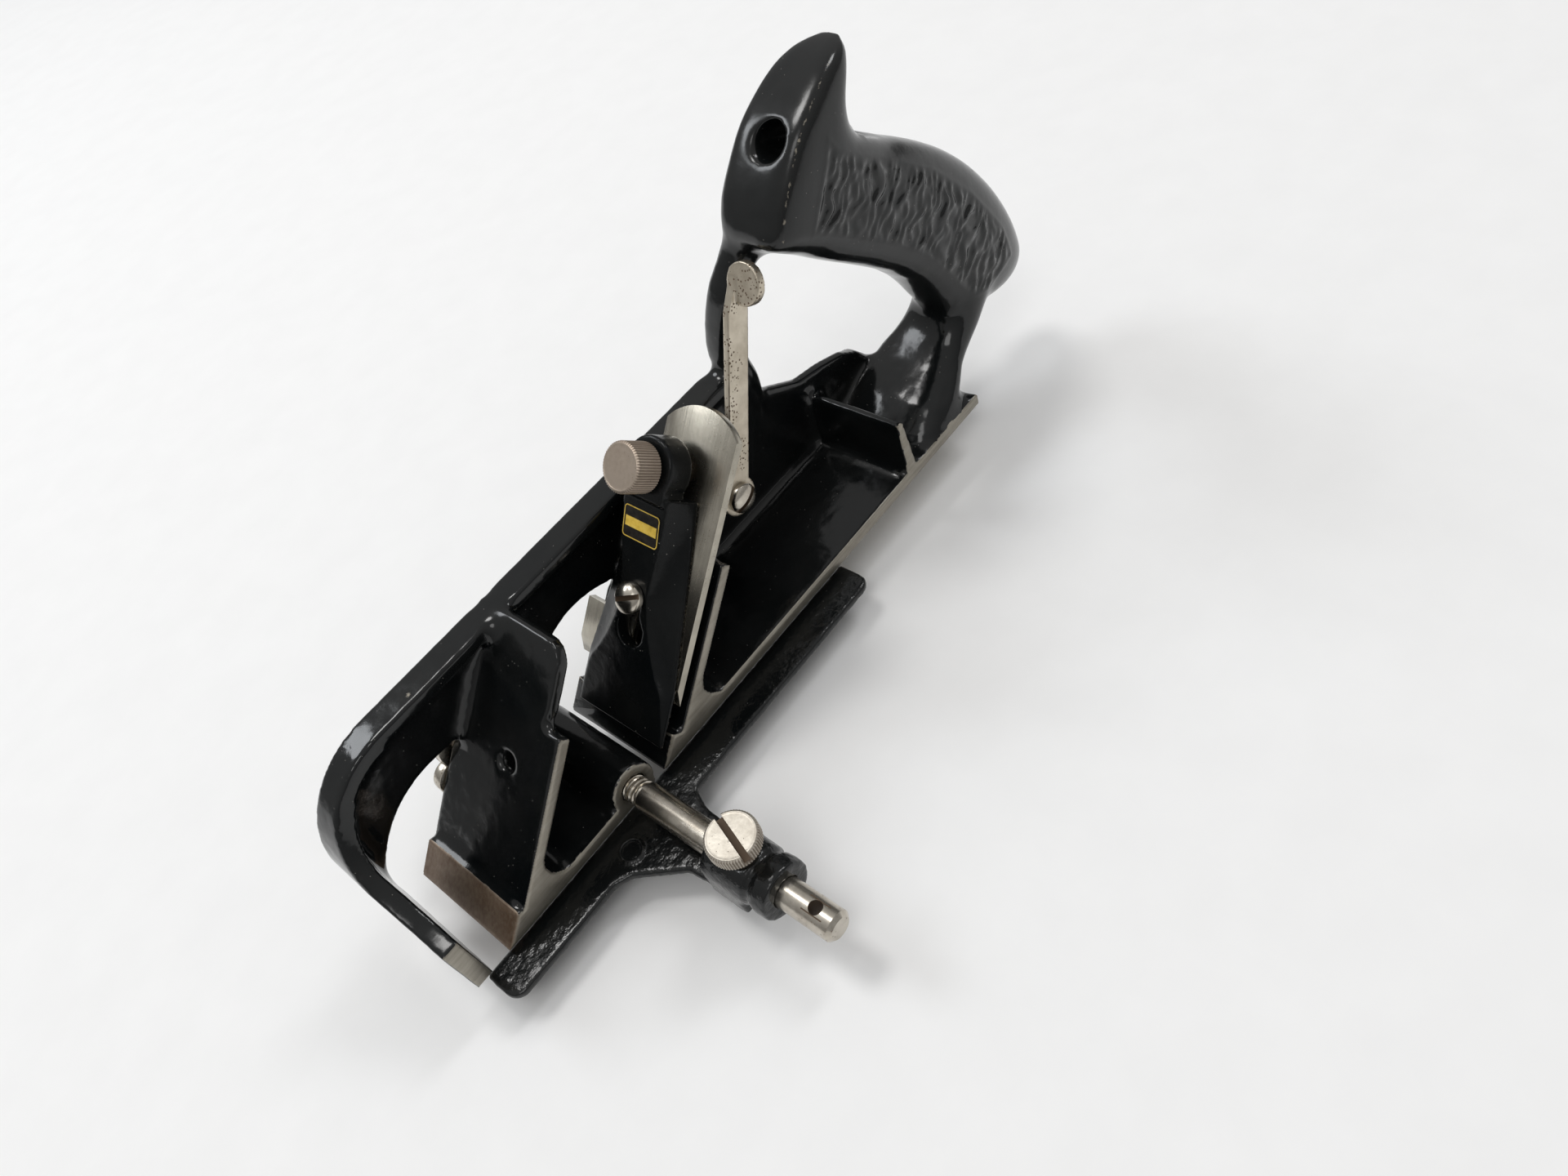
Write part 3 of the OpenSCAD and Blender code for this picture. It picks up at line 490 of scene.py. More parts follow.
def thinOut(ob, most):
    ob.data.calc_loop_triangles()
    have = len(ob.data.loop_triangles)
    if have > most:
        m = ob.modifiers.new("thin", "DECIMATE")
        m.ratio = most / have
        bakeModifiers(ob)


def smoothShade(ob, angle=None):
    ob.data.polygons.foreach_set("use_smooth", [True] * len(ob.data.polygons))
    if angle:
        ob.data.set_sharp_from_angle(angle=math.radians(angle))
    ob.data.update()


def softEdges(nodeName, pieceName, width, flat=0.6, corner=32, crease=34):
    # angles in degrees: joined flat faces, bevelled corners, creases left in the shading
    ob = nodePiece(nodeName, pieceName)
    bm = bmesh.new()
    bm.from_mesh(ob.data)
    bmesh.ops.dissolve_limit(bm, angle_limit=math.radians(flat), verts=bm.verts, edges=bm.edges)
    bm.to_mesh(ob.data)
    bm.free()
    m = ob.modifiers.new("softEdge", "BEVEL")
    m.width = width
    m.segments = 2
    m.limit_method = "ANGLE"
    m.angle_limit = math.radians(corner)
    bakeModifiers(ob)
    smoothShade(ob, crease)
    return ob


def lathe(name, profile, place, sides=96):
    verts, rings = [], []
    for r, z in profile:
        if r < 1e-7:
            rings.append([len(verts)])
            verts.append(place @ Vector((0, 0, z)))
        else:
            rings.append(list(range(len(verts), len(verts) + sides)))
            for k in range(sides):
                a = 2 * math.pi * k / sides
                verts.append(place @ Vector((r * math.cos(a), r * math.sin(a), z)))
    faces = []
    for low, high in zip(rings[:-1], rings[1:]):
        for k in range(sides):
            j = (k + 1) % sides
            if len(low) == 1 and len(high) > 1:
                faces.append((low[0], high[j], high[k]))
            elif len(high) == 1 and len(low) > 1:
                faces.append((low[k], low[j], high[0]))
            elif len(low) > 1:
                faces.append((low[k], low[j], high[j], high[k]))
    return meshPiece(name, verts, faces)


def pin(radius, low, high):
    # turned profile of a plain pin
    return [(0.0, low), (radius, low), (radius, high), (0.0, high)]


def blockPiece(name, size, place):
    xs, ys, zs = [(-side / 2, side / 2) for side in size]
    corners = [place @ Vector((x, y, z)) for x in xs for y in ys for z in zs]
    sides = [(0, 1, 3, 2), (4, 6, 7, 5), (0, 4, 5, 1), (2, 3, 7, 6), (0, 2, 6, 4), (1, 5, 7, 3)]
    return meshPiece(name, corners, sides)


def slabFaces(rows, cols):
    # an upper and a lower grid of points, closed around the rim
    total = rows * cols
    faces = []
    for i in range(rows - 1):
        for j in range(cols - 1):
            a = i * cols + j
            b = a + cols
            faces.append((a, a + 1, b + 1, b))
            faces.append((total + a, total + b, total + b + 1, total + a + 1))
    grid = np.arange(total).reshape(rows, cols)
    rim = np.concatenate([grid[0], grid[1:, -1], grid[-1, -2::-1], grid[-2:0:-1, 0]]).tolist()
    for a, b in zip(rim, rim[1:] + rim[:1]):
        faces.append((b, a, total + a, total + b))
    return faces


def cutAway(ob, tool):
    m = ob.modifiers.new("cut", "BOOLEAN")
    m.operation = "DIFFERENCE"
    m.solver = "EXACT"
    m.object = tool
    bakeModifiers(ob)
    bpy.data.objects.remove(tool)


def boxCut(ob, size, place):
    cutAway(ob, blockPiece("slotTool", size, place))


def turnedCut(ob, profile, place):
    cutAway(ob, lathe("holeTool", profile, place))


def joinInto(ob, *others):
    bm = bmesh.new()
    bm.from_mesh(ob.data)
    for o in others:
        bm.from_mesh(o.data)
        bpy.data.objects.remove(o)
    bm.to_mesh(ob.data)
    bm.free()


def placeMesh(ob, place):
    ob.data.transform(place)
    ob.data.update()
    return ob


def turned(angle, axis):
    return Matrix.Rotation(math.radians(angle), 4, axis)


def facing(at, axis):
    # frame at a point with Z along the axis
    return Matrix.Translation(at) @ Vector(axis).to_track_quat("Z", "Y").to_matrix().to_4x4()


def bedPlace(s, y, h, footX=39.5 * mm):
    # bed frame: X across the plane, Y up the bed, Z off its face
    at = Vector((footX - s * cos45 + h * cos45, y, (s + h) * cos45))
    turn = Matrix(((0, -cos45, cos45), (1, 0, 0), (0, cos45, cos45)))
    return Matrix.Translation(at) @ turn.to_4x4()


def darkenFaces(ob, inside):
    # marks the faces whose middles pass the test, to be coloured darker
    darkened = ob.data.attributes.new("recessDark", "FLOAT", "FACE")
    darkened.data.foreach_set("value", [float(inside(f.center)) for f in ob.data.polygons])


def finishPiece(ob, body, slotName, material, *nodeNames):
    ob.data.materials.clear()
    ob.data.materials.append(material)
    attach(ob, body)
    if nodeNames:
        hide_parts(*nodeNames)
    print("piece", ob.name, len(ob.data.polygons), "faces")


# repeating detail
def detailTree(name, *inputs):
    given = (("Geometry", "Geometry", None), *inputs, ("Finish", "Material", None))
    return groupTree(name, "GeometryNodeTree", given, (("Geometry", "Geometry"),))


def coatAll(tree, geometry, finish, result):
    real = addNode(tree, "GeometryNodeRealizeInstances", {"Geometry": geometry}).outputs["Geometry"]
    coat = addNode(tree, "GeometryNodeSetMaterial", {"Geometry": real, "Material": finish})
    feed(tree, result, {"Geometry": coat.outputs["Geometry"]})
    return tree


def buildKnurl(rimEdge=0.05 * mm, darkShare=-0.9):
    tree, given, result = detailTree(
        "knurledRim", ("Rim Radius", "Float", 6.0 * mm), ("Tooth Depth", "Float", 0.4 * mm),
        ("Tooth Count", "Int", 60))
    place = addNode(tree, "GeometryNodeInputPosition").outputs[0]
    flat = vectorCalc(tree, "MULTIPLY", {0: place, 1: (1, 1, 0)})[0]
    outward = vectorCalc(tree, "NORMALIZE", {0: flat})[0]
    # only the points on the full rim move
    inside = calc(tree, "SUBTRACT", given["Rim Radius"], rimEdge)
    onRim = calc(tree, "GREATER_THAN", vectorCalc(tree, "LENGTH", {0: flat})["Value"], inside)
    axes = addNode(tree, "ShaderNodeSeparateXYZ", {0: place}).outputs
    turns = calc(tree, "MULTIPLY", calc(tree, "ARCTAN2", axes["Y"], axes["X"]), given["Tooth Count"])
    dip = calc(tree, "MULTIPLY_ADD", calc(tree, "COSINE", turns), 0.5, -0.5)
    depth = calc(tree, "MULTIPLY", dip, given["Tooth Depth"])
    # the grooves are coloured darker
    values = {"Geometry": given["Geometry"], "Selection": onRim, "Name": "recessDark"}
    values["Value"] = calc(tree, "MULTIPLY", dip, darkShare)
    keep = addNode(tree, "GeometryNodeStoreNamedAttribute", values, data_type="FLOAT", domain="POINT")
    values = {"Geometry": keep.outputs["Geometry"], "Selection": onRim}
    values["Offset"] = vectorCalc(tree, "SCALE", {0: outward, "Scale": depth})[0]
    push = addNode(tree, "GeometryNodeSetPosition", values)
    return coatAll(tree, push.outputs["Geometry"], given["Finish"], result)


def buildThread(stepsPerTurn=40, crestSides=6):
    tree, given, result = detailTree(
        "screwThread", ("Radius", "Float", 3.0 * mm), ("Turns", "Float", 6.0), ("Length", "Float", 6.0 * mm),
        ("Ridge", "Float", 0.4 * mm))
    values = {"Resolution": stepsPerTurn, "Rotations": given["Turns"], "Height": given["Length"]}
    values["Start Radius"] = values["End Radius"] = given["Radius"]
    coil = addNode(tree, "GeometryNodeCurveSpiral", values)
    values = {"Resolution": crestSides, "Radius": given["Ridge"]}
    crest = addNode(tree, "GeometryNodeCurvePrimitiveCircle", values)
    values = {"Curve": coil.outputs["Curve"], "Profile Curve": crest.outputs["Curve"], "Fill Caps": True}
    sweep = addNode(tree, "GeometryNodeCurveToMesh", values)
    join = addNode(tree, "GeometryNodeJoinGeometry", {"Geometry": sweep.outputs["Mesh"]})
    feed(tree, join, {"Geometry": given["Geometry"]})
    return coatAll(tree, join.outputs["Geometry"], given["Finish"], result)


def runTree(ob, tree, **values):
    m = ob.modifiers.new("detail", "NODES")
    m.node_group = tree
    ids = {i.name: i.identifier for i in tree.interface.items_tree if i.in_out == "INPUT"}
    for label, value in values.items():
        m[ids[label.replace("_", " ")]] = value
    return bakeModifiers(ob)


knurledRim = buildKnurl()
screwThread = buildThread()
print("repeating detail ready")
buildStage(stageSet, cadBox[0][2])


# body casting
bodySet = dict(
    voxel=0.6 * mm, most=195000, halfWidth=19.05 * mm, bandHeight=20.2 * mm, heel=-107.5 * mm, handleY=2 * mm,
    near=0.25 * mm, flat=0.6, mainFoot=39.5 * mm, noseFoot=96.8 * mm, padLength=11 * mm, mouthHalf=1.8 * mm,
    mouthShadeSpan=(4 * mm, 18.4 * mm, 3 * mm), bedHole=(64.5, 2.5, 28.5), bedHoleClean=6 * mm,
    gripRounds=24, frameRounds=5, filletRounds=90, blendRounds=150, rimRounds=14,
    gripBack=-57.5 * mm, gripBend=53 * mm, gripDrop=-40 * mm, gripSlope=0.62, gripLow=23 * mm,
    gripFade=5 * mm, heelBack=-108.2 * mm, heelFade=2 * mm,
    ridgeHeight=0.5 * mm, ridgeAcross=3.0 * mm, ridgeAlong=7.5 * mm, ridgeLean=(0.74, 0.67), ridgeGain=1.7,
    wanderSize=7 * mm, wanderReach=1.2, sideFrom=0.40, sideFade=0.3,
    panelEdge=2.2 * mm, panelSink=0.22 * mm, frameWide=0.7 * mm, frameHigh=0.12 * mm, castNoise=0.06 * mm,
    holeAt=(-72.1 * mm, 3.4 * mm, 109 * mm), holeAxis=(0.9135, 0, 0.4067), holeFace=(0.66, 0, 0.75),
    holeRadius=4.5 * mm, sinkRadius=5.5 * mm, holeSpan=(-60 * mm, 8 * mm), rimSpare=0.3 * mm, rimTop=6 * mm,
    holeDeep=-30 * mm, rimDeep=-3 * mm, rimNear=0.1 * mm, rimFar=1.2 * mm,
    hornEdge=0.34, footEdge=0.92, postEdge=0.7, backEdge=0.82, hornUp=84 * mm, toeFrom=99 * mm,
    wornRows=(1.5, 8.2), wornWide=0.5 * mm, wornMost=0.66, chipMost=1.2,
    blends=((-60, -5, 86, 13), (-116, 2, 30, 24)),
    chips=((68.9, -13.0, 53.0, 0.9), (16.4, -12.4, 53.0, 0.8), (40.8, 13.4, 51.0, 0.9),
           (90.0, -12.0, 46.0, 1.3)),
    grit=((92.6, -14.0, 36.0), (5.0, 4.0, 9.5)),
    panel=((-82, 105), (-78, 99), (-73.4, 93.2), (-69.5, 87.2), (-82.5, 76.7), (-96, 65), (-107, 53),
           (-115, 40), (-122, 28), (-130, 25), (-142, 28), (-140, 38.6), (-130, 57), (-117, 73),
           (-103, 85.5), (-92.3, 93.4), (-84, 100.5)),
    # handle sections: front and back point ahead of the heel and up, half width, side offset
    grip=((5.5, 118.8, 4, 117.8, 2.6, -0.3), (11, 118.7, 5.8, 115, 6.6, -0.3),
          (18, 117.5, 8.8, 111.5, 9, -0.2), (26, 114.5, 12, 106, 10.3, -0.1),
          (34, 110.3, 12.4, 101.3, 11, 0), (41.2, 103.5, 10, 96.8, 11.6, -0.2),
          (46.6, 97, 4, 92, 12, -0.7), (50, 91, -2, 87, 11.9, -0.8), (47, 86.8, -7.5, 83, 11.2, -0.2),
          (40, 80.8, -15, 77, 11, 0), (31, 72.3, -23, 69.5, 11, 0), (20, 62.5, -31, 60, 11, 0),
          (10.5, 53.5, -38, 49, 11.2, 0), (4, 45.5, -43, 38, 11.4, 0), (0, 38.5, -46, 28, 11.2, 0),
          (-3, 31, -47, 20, 10.2, 0), (-8, 24, -43, 15, 8, 0), (-16, 19, -35, 14, 4.5, 0)),
    foot=((-13, 36, -29, 24, 11, 0), (-10.5, 31, -18, 14, 11.3, -0.3), (-7, 25.5, -9, 9.5, 12, -1),
          (-2, 20, -2, 6.5, 13.8, -2), (6.5, 15.5, 0.8, 4.5, 16, -2.3), (18, 12, 0.8, 3, 18, -2.2),
          (28, 6, 0.8, 2, 18.9, -2), (29.5, 2, 0.8, 1, 18.9, -2)),
    post=((42, 97, 30, 90, 6, -5), (48.5, 89, 36, 83.5, 6, -7.6), (53.2, 81.5, 44, 78, 5.2, -10.2),
          (56.7, 75, 48.5, 73, 4.8, -12), (59, 68, 51, 67, 4.6, -13.9), (60.2, 61, 52, 60, 4.5, -15.6),
          (60.7, 55, 51.5, 53, 4.5, -16.2), (61, 49, 50, 45, 4.5, -16.5), (58.5, 41.5, 50, 38.5, 3.8, -17),
          (56, 34, 51, 31.5, 2.4, -17.8)),
)


def fineRows(rows, steps):
    # smooth curve through the sections
    rows = np.array(rows, dtype=float)
    ends = np.vstack([2 * rows[0] - rows[1], rows, 2 * rows[-1] - rows[-2]])
    fine = []
    for i in range(len(rows) - 1):
        a, b, c, d = ends[i:i + 4]
        for k in range(steps):
            t = k / steps
            square = (2 * a - 5 * b + 4 * c - d) * t ** 2
            cube = (3 * b - a - 3 * c + d) * t ** 3
            fine.append((i + t, 0.5 * (2 * b + (c - a) * t + square + cube)))
    fine.append((len(rows) - 1.0, rows[-1]))
    return fine


def sectionPoint(s, row, along, side):
    # along runs from -1 at the front to 1 at the back
    fx, fz, bx, bz, half, off = row
    return (s["heel"] + ((fx + bx) / 2 + (bx - fx) / 2 * along) * mm, s["handleY"] + (off + half * side) * mm,
            ((fz + bz) / 2 + (bz - fz) / 2 * along) * mm)


def smoothBar(name, rows, s, frontEdge, sides=72, steps=7):
    # a finer loft through the same sections as the solid handle
    fine = fineRows(rows, steps)
    verts, faces = [], []
    for at, row in fine:
        edge = frontEdge(at)
        for k in range(sides):
            a = 2 * math.pi * k / sides
            p = edge if math.cos(a) < 0 else s["backEdge"]
            along, side = [math.copysign(abs(v) ** p, v) for v in (math.cos(a), math.sin(a))]
            verts.append(sectionPoint(s, row, along, side))
    n = len(fine)
    for i in range(n - 1):
        for k in range(sides):
            j = (k + 1) % sides
            faces.append((i * sides + k, (i + 1) * sides + k, (i + 1) * sides + j, i * sides + j))
    faces.append(tuple(range(sides)))
    faces.append(tuple(reversed(range((n - 1) * sides, n * sides))))
    ob = meshPiece(name, verts, faces)
    bm = bmesh.new()
    bm.from_mesh(ob.data)
    bmesh.ops.recalc_face_normals(bm, faces=bm.faces)
    bmesh.ops.triangulate(bm, faces=[f for f in bm.faces if len(f.verts) > 4])
    bm.to_mesh(ob.data)
    bm.free()
    return ob


def insidePanel(x, z, outline):
    # signed distance to the panel's outline, positive inside
    pts = np.array(outline) * mm
    best = np.full(len(x), 1.0)
    inside = np.zeros(len(x), dtype=bool)
    for (ax, az), (bx, bz) in zip(pts, np.roll(pts, -1, 0)):
        dx, dz = bx - ax, bz - az
        t = np.clip(((x - ax) * dx + (z - az) * dz) / (dx * dx + dz * dz), 0, 1)
        best = np.minimum(best, np.hypot(x - ax - t * dx, z - az - t * dz))
        cross = (az > z) != (bz > z)
        with np.errstate(divide="ignore", invalid="ignore"):
            inside ^= cross & (x < dx * (z - az) / dz + ax)
    return np.where(inside, best, -best)


def boreHole(ob, s):
    r, rim = s["holeRadius"], s["sinkRadius"] - s["holeRadius"]
    turnedCut(ob, pin(r, *s["holeSpan"]), facing(s["holeAt"], s["holeAxis"]))
    # the rounded rim follows the sloping face
    sunken = [(0.0, -rim)]
    for k in range(7):
        a = math.radians(15 * k)
        sunken.append((r + rim * (1 - math.cos(a)), rim * (math.sin(a) - 1)))
    wide = s["sinkRadius"] + s["rimSpare"]
    sunken += [(wide, s["rimSpare"]), (wide, s["rimTop"]), (0.0, s["rimTop"])]
    turnedCut(ob, sunken, facing(s["holeAt"], s["holeFace"]))


def gripRidges(co, nor, s):
    # hammered ridges on both sides of the grip, inside a thin raised frame
    depth = insidePanel(co[:, 0], co[:, 2], s["panel"])
    sideways = rise(np.abs(nor[:, 1]), s["sideFrom"], s["sideFade"])
    inPanel = rise(depth, 0, s["panelEdge"]) * sideways
    sel = np.nonzero(inPanel > 0.01)[0]
    wander = noiseField(co[sel], s["wanderSize"], 3.0)
    c, q = s["ridgeLean"]
    flow = np.stack([
        (co[sel, 0] * c - co[sel, 2] * q) / s["ridgeAlong"], np.sign(co[sel, 1]) * 3.0,
        (co[sel, 0] * q + co[sel, 2] * c) / s["ridgeAcross"] + wander * s["wanderReach"]], 1)
    swell = noiseField(flow, 0.75, 7.0) + 0.5 * noiseField(flow, 0.40, 11.0)
    ridge = np.zeros(len(co))
    ridge[sel] = np.clip(swell * s["ridgeGain"], -0.5, 1)
    frameLine = np.exp(-(depth / s["frameWide"]) ** 2) * sideways
    return inPanel, inPanel * (ridge * s["ridgeHeight"] - s["panelSink"]) + frameLine * s["frameHigh"]


def bodyWear(co, nor, ed, inPanel, holeEdge, s):
    away = lambda at: np.linalg.norm(co - np.array(at) * mm, axis=1)
    wear = convexEdges(co, nor, ed, s["voxel"])
    wear *= 1 - 0.8 * np.clip(inPanel * 2, 0, 1)
    wear[holeEdge] = 0
    # no bare chips in the main mouth: it stays black enamel as painted shade
    ahead, aside, above = s["mouthShadeSpan"]
    wear[(np.abs(co[:, 0] - s["mainFoot"]) < ahead) & (co[:, 2] < above) & (np.abs(co[:, 1]) < aside)] = 0
    wear[away(s["bedHole"]) < s["bedHoleClean"]] = 0
    # the horn's front corner on the near side is rubbed through
    corner = 0.7071 ** s["hornEdge"]
    best = np.full(len(co), 1.0)
    onHorn = np.nonzero((co[:, 2] > s["hornUp"]) & (co[:, 1] > 4 * mm))[0]
    for at, row in fineRows(s["grip"], 24):
        if s["wornRows"][0] < at < s["wornRows"][1]:
            line = np.array(sectionPoint(s, row, -corner, corner))
            best[onHorn] = np.minimum(best[onHorn], np.linalg.norm(co[onHorn] - line, axis=1))
    wear = np.maximum(wear, s["wornMost"] * np.clip(1.7 - best / s["wornWide"], 0, 1))
    for *at, size in s["chips"]:
        wear = np.maximum(wear, s["chipMost"] * np.clip(1.4 - away(at) / (size * mm), 0, 1))
    return wear


def makeBody(s):
    ob = nodePiece("body", "castingBody")
    # the horn's front edges are crisp and soften down the grip
    edges = dict(
        grip=lambda at: s["hornEdge"] + 0.41 * rise(at, 7.0, 3.0) + 0.18 * rise(at, 12.0, 2.0),
        foot=lambda at: s["footEdge"], post=lambda at: s["postEdge"])
    grip, foot, post = [smoothBar(name + "Loft", s[name], s, edge) for name, edge in edges.items()]
    for cutOb in (ob, grip):
        boreHole(cutOb, s)
    joinInto(ob, grip, foot, post)
    castSkin(ob, s["voxel"])
    me = ob.data
    co, nor, ed = points(me), pointNormals(me), edgePairs(me)
    x, y, z = co.T
    w, near, flat = s["halfWidth"], s["near"], s["flat"]
    left = (y > w - near) & (nor[:, 1] > flat)
    right = (y < -w + near) & (nor[:, 1] < -flat) & (z < s["bandHeight"])
    under = (z < near) & (nor[:, 2] < -flat) & (np.abs(x - s["mainFoot"]) > s["mouthHalf"])
    ground = left | right | under
    pads = []
    for bedFoot in (s["mainFoot"], s["noseFoot"]):
        up = (-(x - bedFoot) + z) * cos45
        off = ((x - bedFoot) + z) * cos45
        pads.append((np.abs(off) < near) & (up > 0) & (up < s["padLength"] + near))
    pad = pads[1]  # the main bed's bare pad is left in the black enamel as painted shade; the nose bed's pad is bare
    axis = np.array(Vector(s["holeAxis"]))
    rel = co - np.array(s["holeAt"])
    along = rel @ axis
    fromHole = np.linalg.norm(rel - along[:, None] * axis, axis=1)
    holeEdge = (fromHole < s["sinkRadius"] + s["rimSpare"]) & (along > s["holeDeep"])
    sunk = (fromHole > s["holeRadius"] - s["rimNear"]) & (fromHole < s["sinkRadius"] + s["rimFar"])
    sunk &= along > s["rimDeep"]
    held = ground | pads[0] | pad | holeEdge

    def eased(co, weight, rounds):
        weight[held] = 0
        return relax(co, ed, weight, rounds)

    # faint facets of the grip are relaxed away, its front edges stay
    back = s["gripBack"] - np.clip(z - s["gripBend"], s["gripDrop"], 0) * s["gripSlope"]
    onGrip = rise(back - x, 0, s["gripFade"]) * rise(z, s["gripLow"], s["gripFade"])
    onGrip = np.maximum(onGrip, rise(s["heelBack"] - x, 0, s["heelFade"]))
    crisp = rise(spread(bending(co, nor, ed, s["voxel"]), ed, 2), 0.05, 0.08)
    co = eased(co, 0.5 * spread(onGrip, ed, 4) * (1 - spread(crisp, ed, 2)), s["gripRounds"])
    # the horn runs smoothly into the post, and the grip into its foot
    join = np.zeros(len(co))
    for *at, size in s["blends"]:
        far = np.linalg.norm(co / mm - np.array(at), axis=1)
        join = np.maximum(join, 0.5 * np.clip(1.5 - 1.5 * far / size, 0, 1))
    co = eased(co, join, s["blendRounds"])
    co = eased(co, np.full(len(co), 0.5), s["frameRounds"])
    co = relax(co, ed, 0.5 * spread(sunk.astype(float), ed, 1), s["rimRounds"])
    # inner corners get a cast fillet
    setPoints(me, co)
    hollow = rise(-bending(co, pointNormals(me), ed, s["voxel"]), 0, 0.06)
    co = eased(co, np.clip(spread(hollow, ed, 24) * 5.0, 0, 1) * 0.5, s["filletRounds"])
    setPoints(me, co)
    nor = pointNormals(me)
    inPanel, lift = gripRidges(co, nor, s)
    lump = noiseField(co, 3.2 * mm, 1.0) + 0.5 * noiseField(co, 1.4 * mm, 2.0)
    lift += lump * s["castNoise"] * (1 - 0.6 * inPanel) * (0.3 + 0.7 * (1 - onGrip))
    lift[held] = 0
    co = co + nor * lift[:, None]
    co[:, 1] = np.clip(co[:, 1], -w, w)
    co[:, 2] = np.maximum(co[:, 2], 0)
    setPoints(me, co)
    nor = pointNormals(me)
    gritAt, gritSize = np.array(s["grit"]) * mm
    patch = np.clip(1.2 - np.linalg.norm((co - gritAt) / gritSize, axis=1), 0, 0.62)
    rubbed = (co[:, 2] > s["hornUp"]) & (nor[:, 0] > 0.2) & (np.abs(nor[:, 1]) < 0.75)
    rubbed |= (co[:, 0] > s["toeFrom"]) & (nor[:, 2] > 0.7)
    setFloat(me, "ground", spread((ground | pad).astype(float), ed, 1))
    setFloat(me, "pad", spread(pad.astype(float), ed, 1))
    setFloat(me, "wear", bodyWear(co, nor, ed, inPanel, holeEdge, s))
    setFloat(me, "patch", spread(patch, ed, 5))
    setFloat(me, "rubbed", spread(rubbed.astype(float), ed, 3) * (0.75 + 0.5 * lump))
    thinOut(ob, s["most"])
    smoothShade(ob)
    finishPiece(ob, "plane_body", "japanned_iron", japanned, "body")


makeBody(bodySet)


# lever cap, with a plain label on its panel
capSet = dict(
    voxel=0.4 * mm, most=95000, middleY=2.5 * mm, rounds=5, lumpHigh=0.035 * mm, lumpSize=2.6 * mm,
    keyEase=0.2, keyWear=0.3,
    # in millimetres: the cap lies along the bed, heights are off the bed
    seat=2.3, lip=0.9, tip=7, flare=22, shoulder=71, halfWide=16.2, halfWaist=9.3,
    panelLow=5.1, panelFrom=20, panelSlope=0.1333, neckHalf=6.8, neckFrom=69,
    lugRadius=8, lugUp=77, lugLow=5.3, lugTop=13.1, bore=3.05, seatNear=0.15, through=30,
    slotHalf=2.8, slotUp=43, keyUp=34, keyRadius=4.6, keySpan=(28, 47), keySpare=0.3,
    # half width of the face between its two ridges, by distance up the cap
    ridgeUp=(7, 14, 20.5, 24.7, 30, 36.7, 45, 54, 60, 66, 71),
    ridgeHalf=(15.9, 15.0, 13.8, 10.8, 8.1, 5.8, 4.6, 6.2, 7.0, 7.6, 8.0), flankBend=0.75, rows=129, cols=97,
)


def capBlock(s):
    # face with scooped flanks, drawn as a height over the cutter
    ups = np.linspace(s["tip"], s["shoulder"], s["rows"])
    half = np.interp(ups, (s["flare"], s["shoulder"]), (s["halfWide"], s["halfWaist"]))
    ridge = np.interp(ups, s["ridgeUp"], s["ridgeHalf"])
    ridge[2:-2] = sum(np.roll(ridge, k) for k in range(-2, 3))[2:-2] / 5
    edge = s["seat"] + s["lip"]
    rising = s["panelLow"] + (ups - s["panelFrom"]) * s["panelSlope"]
    nosing = np.interp(ups, (s["tip"], s["panelFrom"]), (edge, s["panelLow"]))
    face = np.where(ups < s["panelFrom"], nosing, rising)
    across = np.linspace(-1, 1, s["cols"])
    top, low = [], []
    for up, w, r, h in zip(ups, half, ridge, face):
        u = across * w
        fall = rise(np.abs(u), r, w - r) ** s["flankBend"]
        for a, z in zip(u, h - (h - edge) * fall):
            top.append((a * mm, up * mm, z * mm))
            low.append((a * mm, up * mm, s["seat"] * mm))
    return meshPiece("capFace", top + low, slabFaces(s["rows"], s["cols"]))


def makeCap(s):
    ob = capBlock(s)
    deep = s["through"] * mm
    at = lambda up, height=0: Matrix.Translation((0, up * mm, height * mm))
    drill = lambda target, r, up: turnedCut(target, pin(r * mm, -deep, deep), at(up))
    drill(ob, s["slotHalf"], s["slotUp"])
    slotSize = (2 * s["slotHalf"] * mm, (s["slotUp"] - s["keyUp"]) * mm, 2 * deep)
    boxCut(ob, slotSize, at((s["slotUp"] + s["keyUp"]) / 2))
    drill(ob, s["keyRadius"], s["keyUp"])
    lug = lathe("capLug", pin(s["lugRadius"] * mm, s["lugLow"] * mm, s["lugTop"] * mm), at(s["lugUp"]))
    neckSize = (2 * s["neckHalf"] * mm, (s["lugUp"] - s["neckFrom"]) * mm, (s["lugTop"] - s["lugLow"]) * mm)
    neckAt = at((s["lugUp"] + s["neckFrom"]) / 2, (s["lugTop"] + s["lugLow"]) / 2)
    neck = blockPiece("capNeck", neckSize, neckAt)
    for part in (lug, neck):
        drill(part, s["bore"], s["lugUp"])
    joinInto(ob, lug, neck)
    ob.name = "leverCapCasting"
    castSkin(ob, s["voxel"])
    me = ob.data
    co, ed = points(me), edgePairs(me)
    seat = co[:, 2] < (s["seat"] + s["seatNear"]) * mm
    low, high = s["keySpan"]
    key = np.abs(co[:, 0]) < (s["keyRadius"] + s["keySpare"]) * mm
    key &= (co[:, 1] > low * mm) & (co[:, 1] < high * mm)
    co = relax(co, ed, np.where(seat, 0, np.where(key, s["keyEase"], 0.5)), s["rounds"])
    setPoints(me, co)
    lump = noiseField(co, s["lumpSize"], 5.0)
    co = co + pointNormals(me) * (lump * s["lumpHigh"] * (1.0 - seat))[:, None]
    setPoints(me, co)
    setFloat(me, "wear", convexEdges(co, pointNormals(me), ed, s["voxel"]) * np.where(key, s["keyWear"], 1))
    thinOut(ob, s["most"])
    placeMesh(ob, bedPlace(0, s["middleY"], 0))
    smoothShade(ob)
    finishPiece(ob, "lever_cap", "japanned_iron", satinBlack, "lever_cap")


makeCap(capSet)

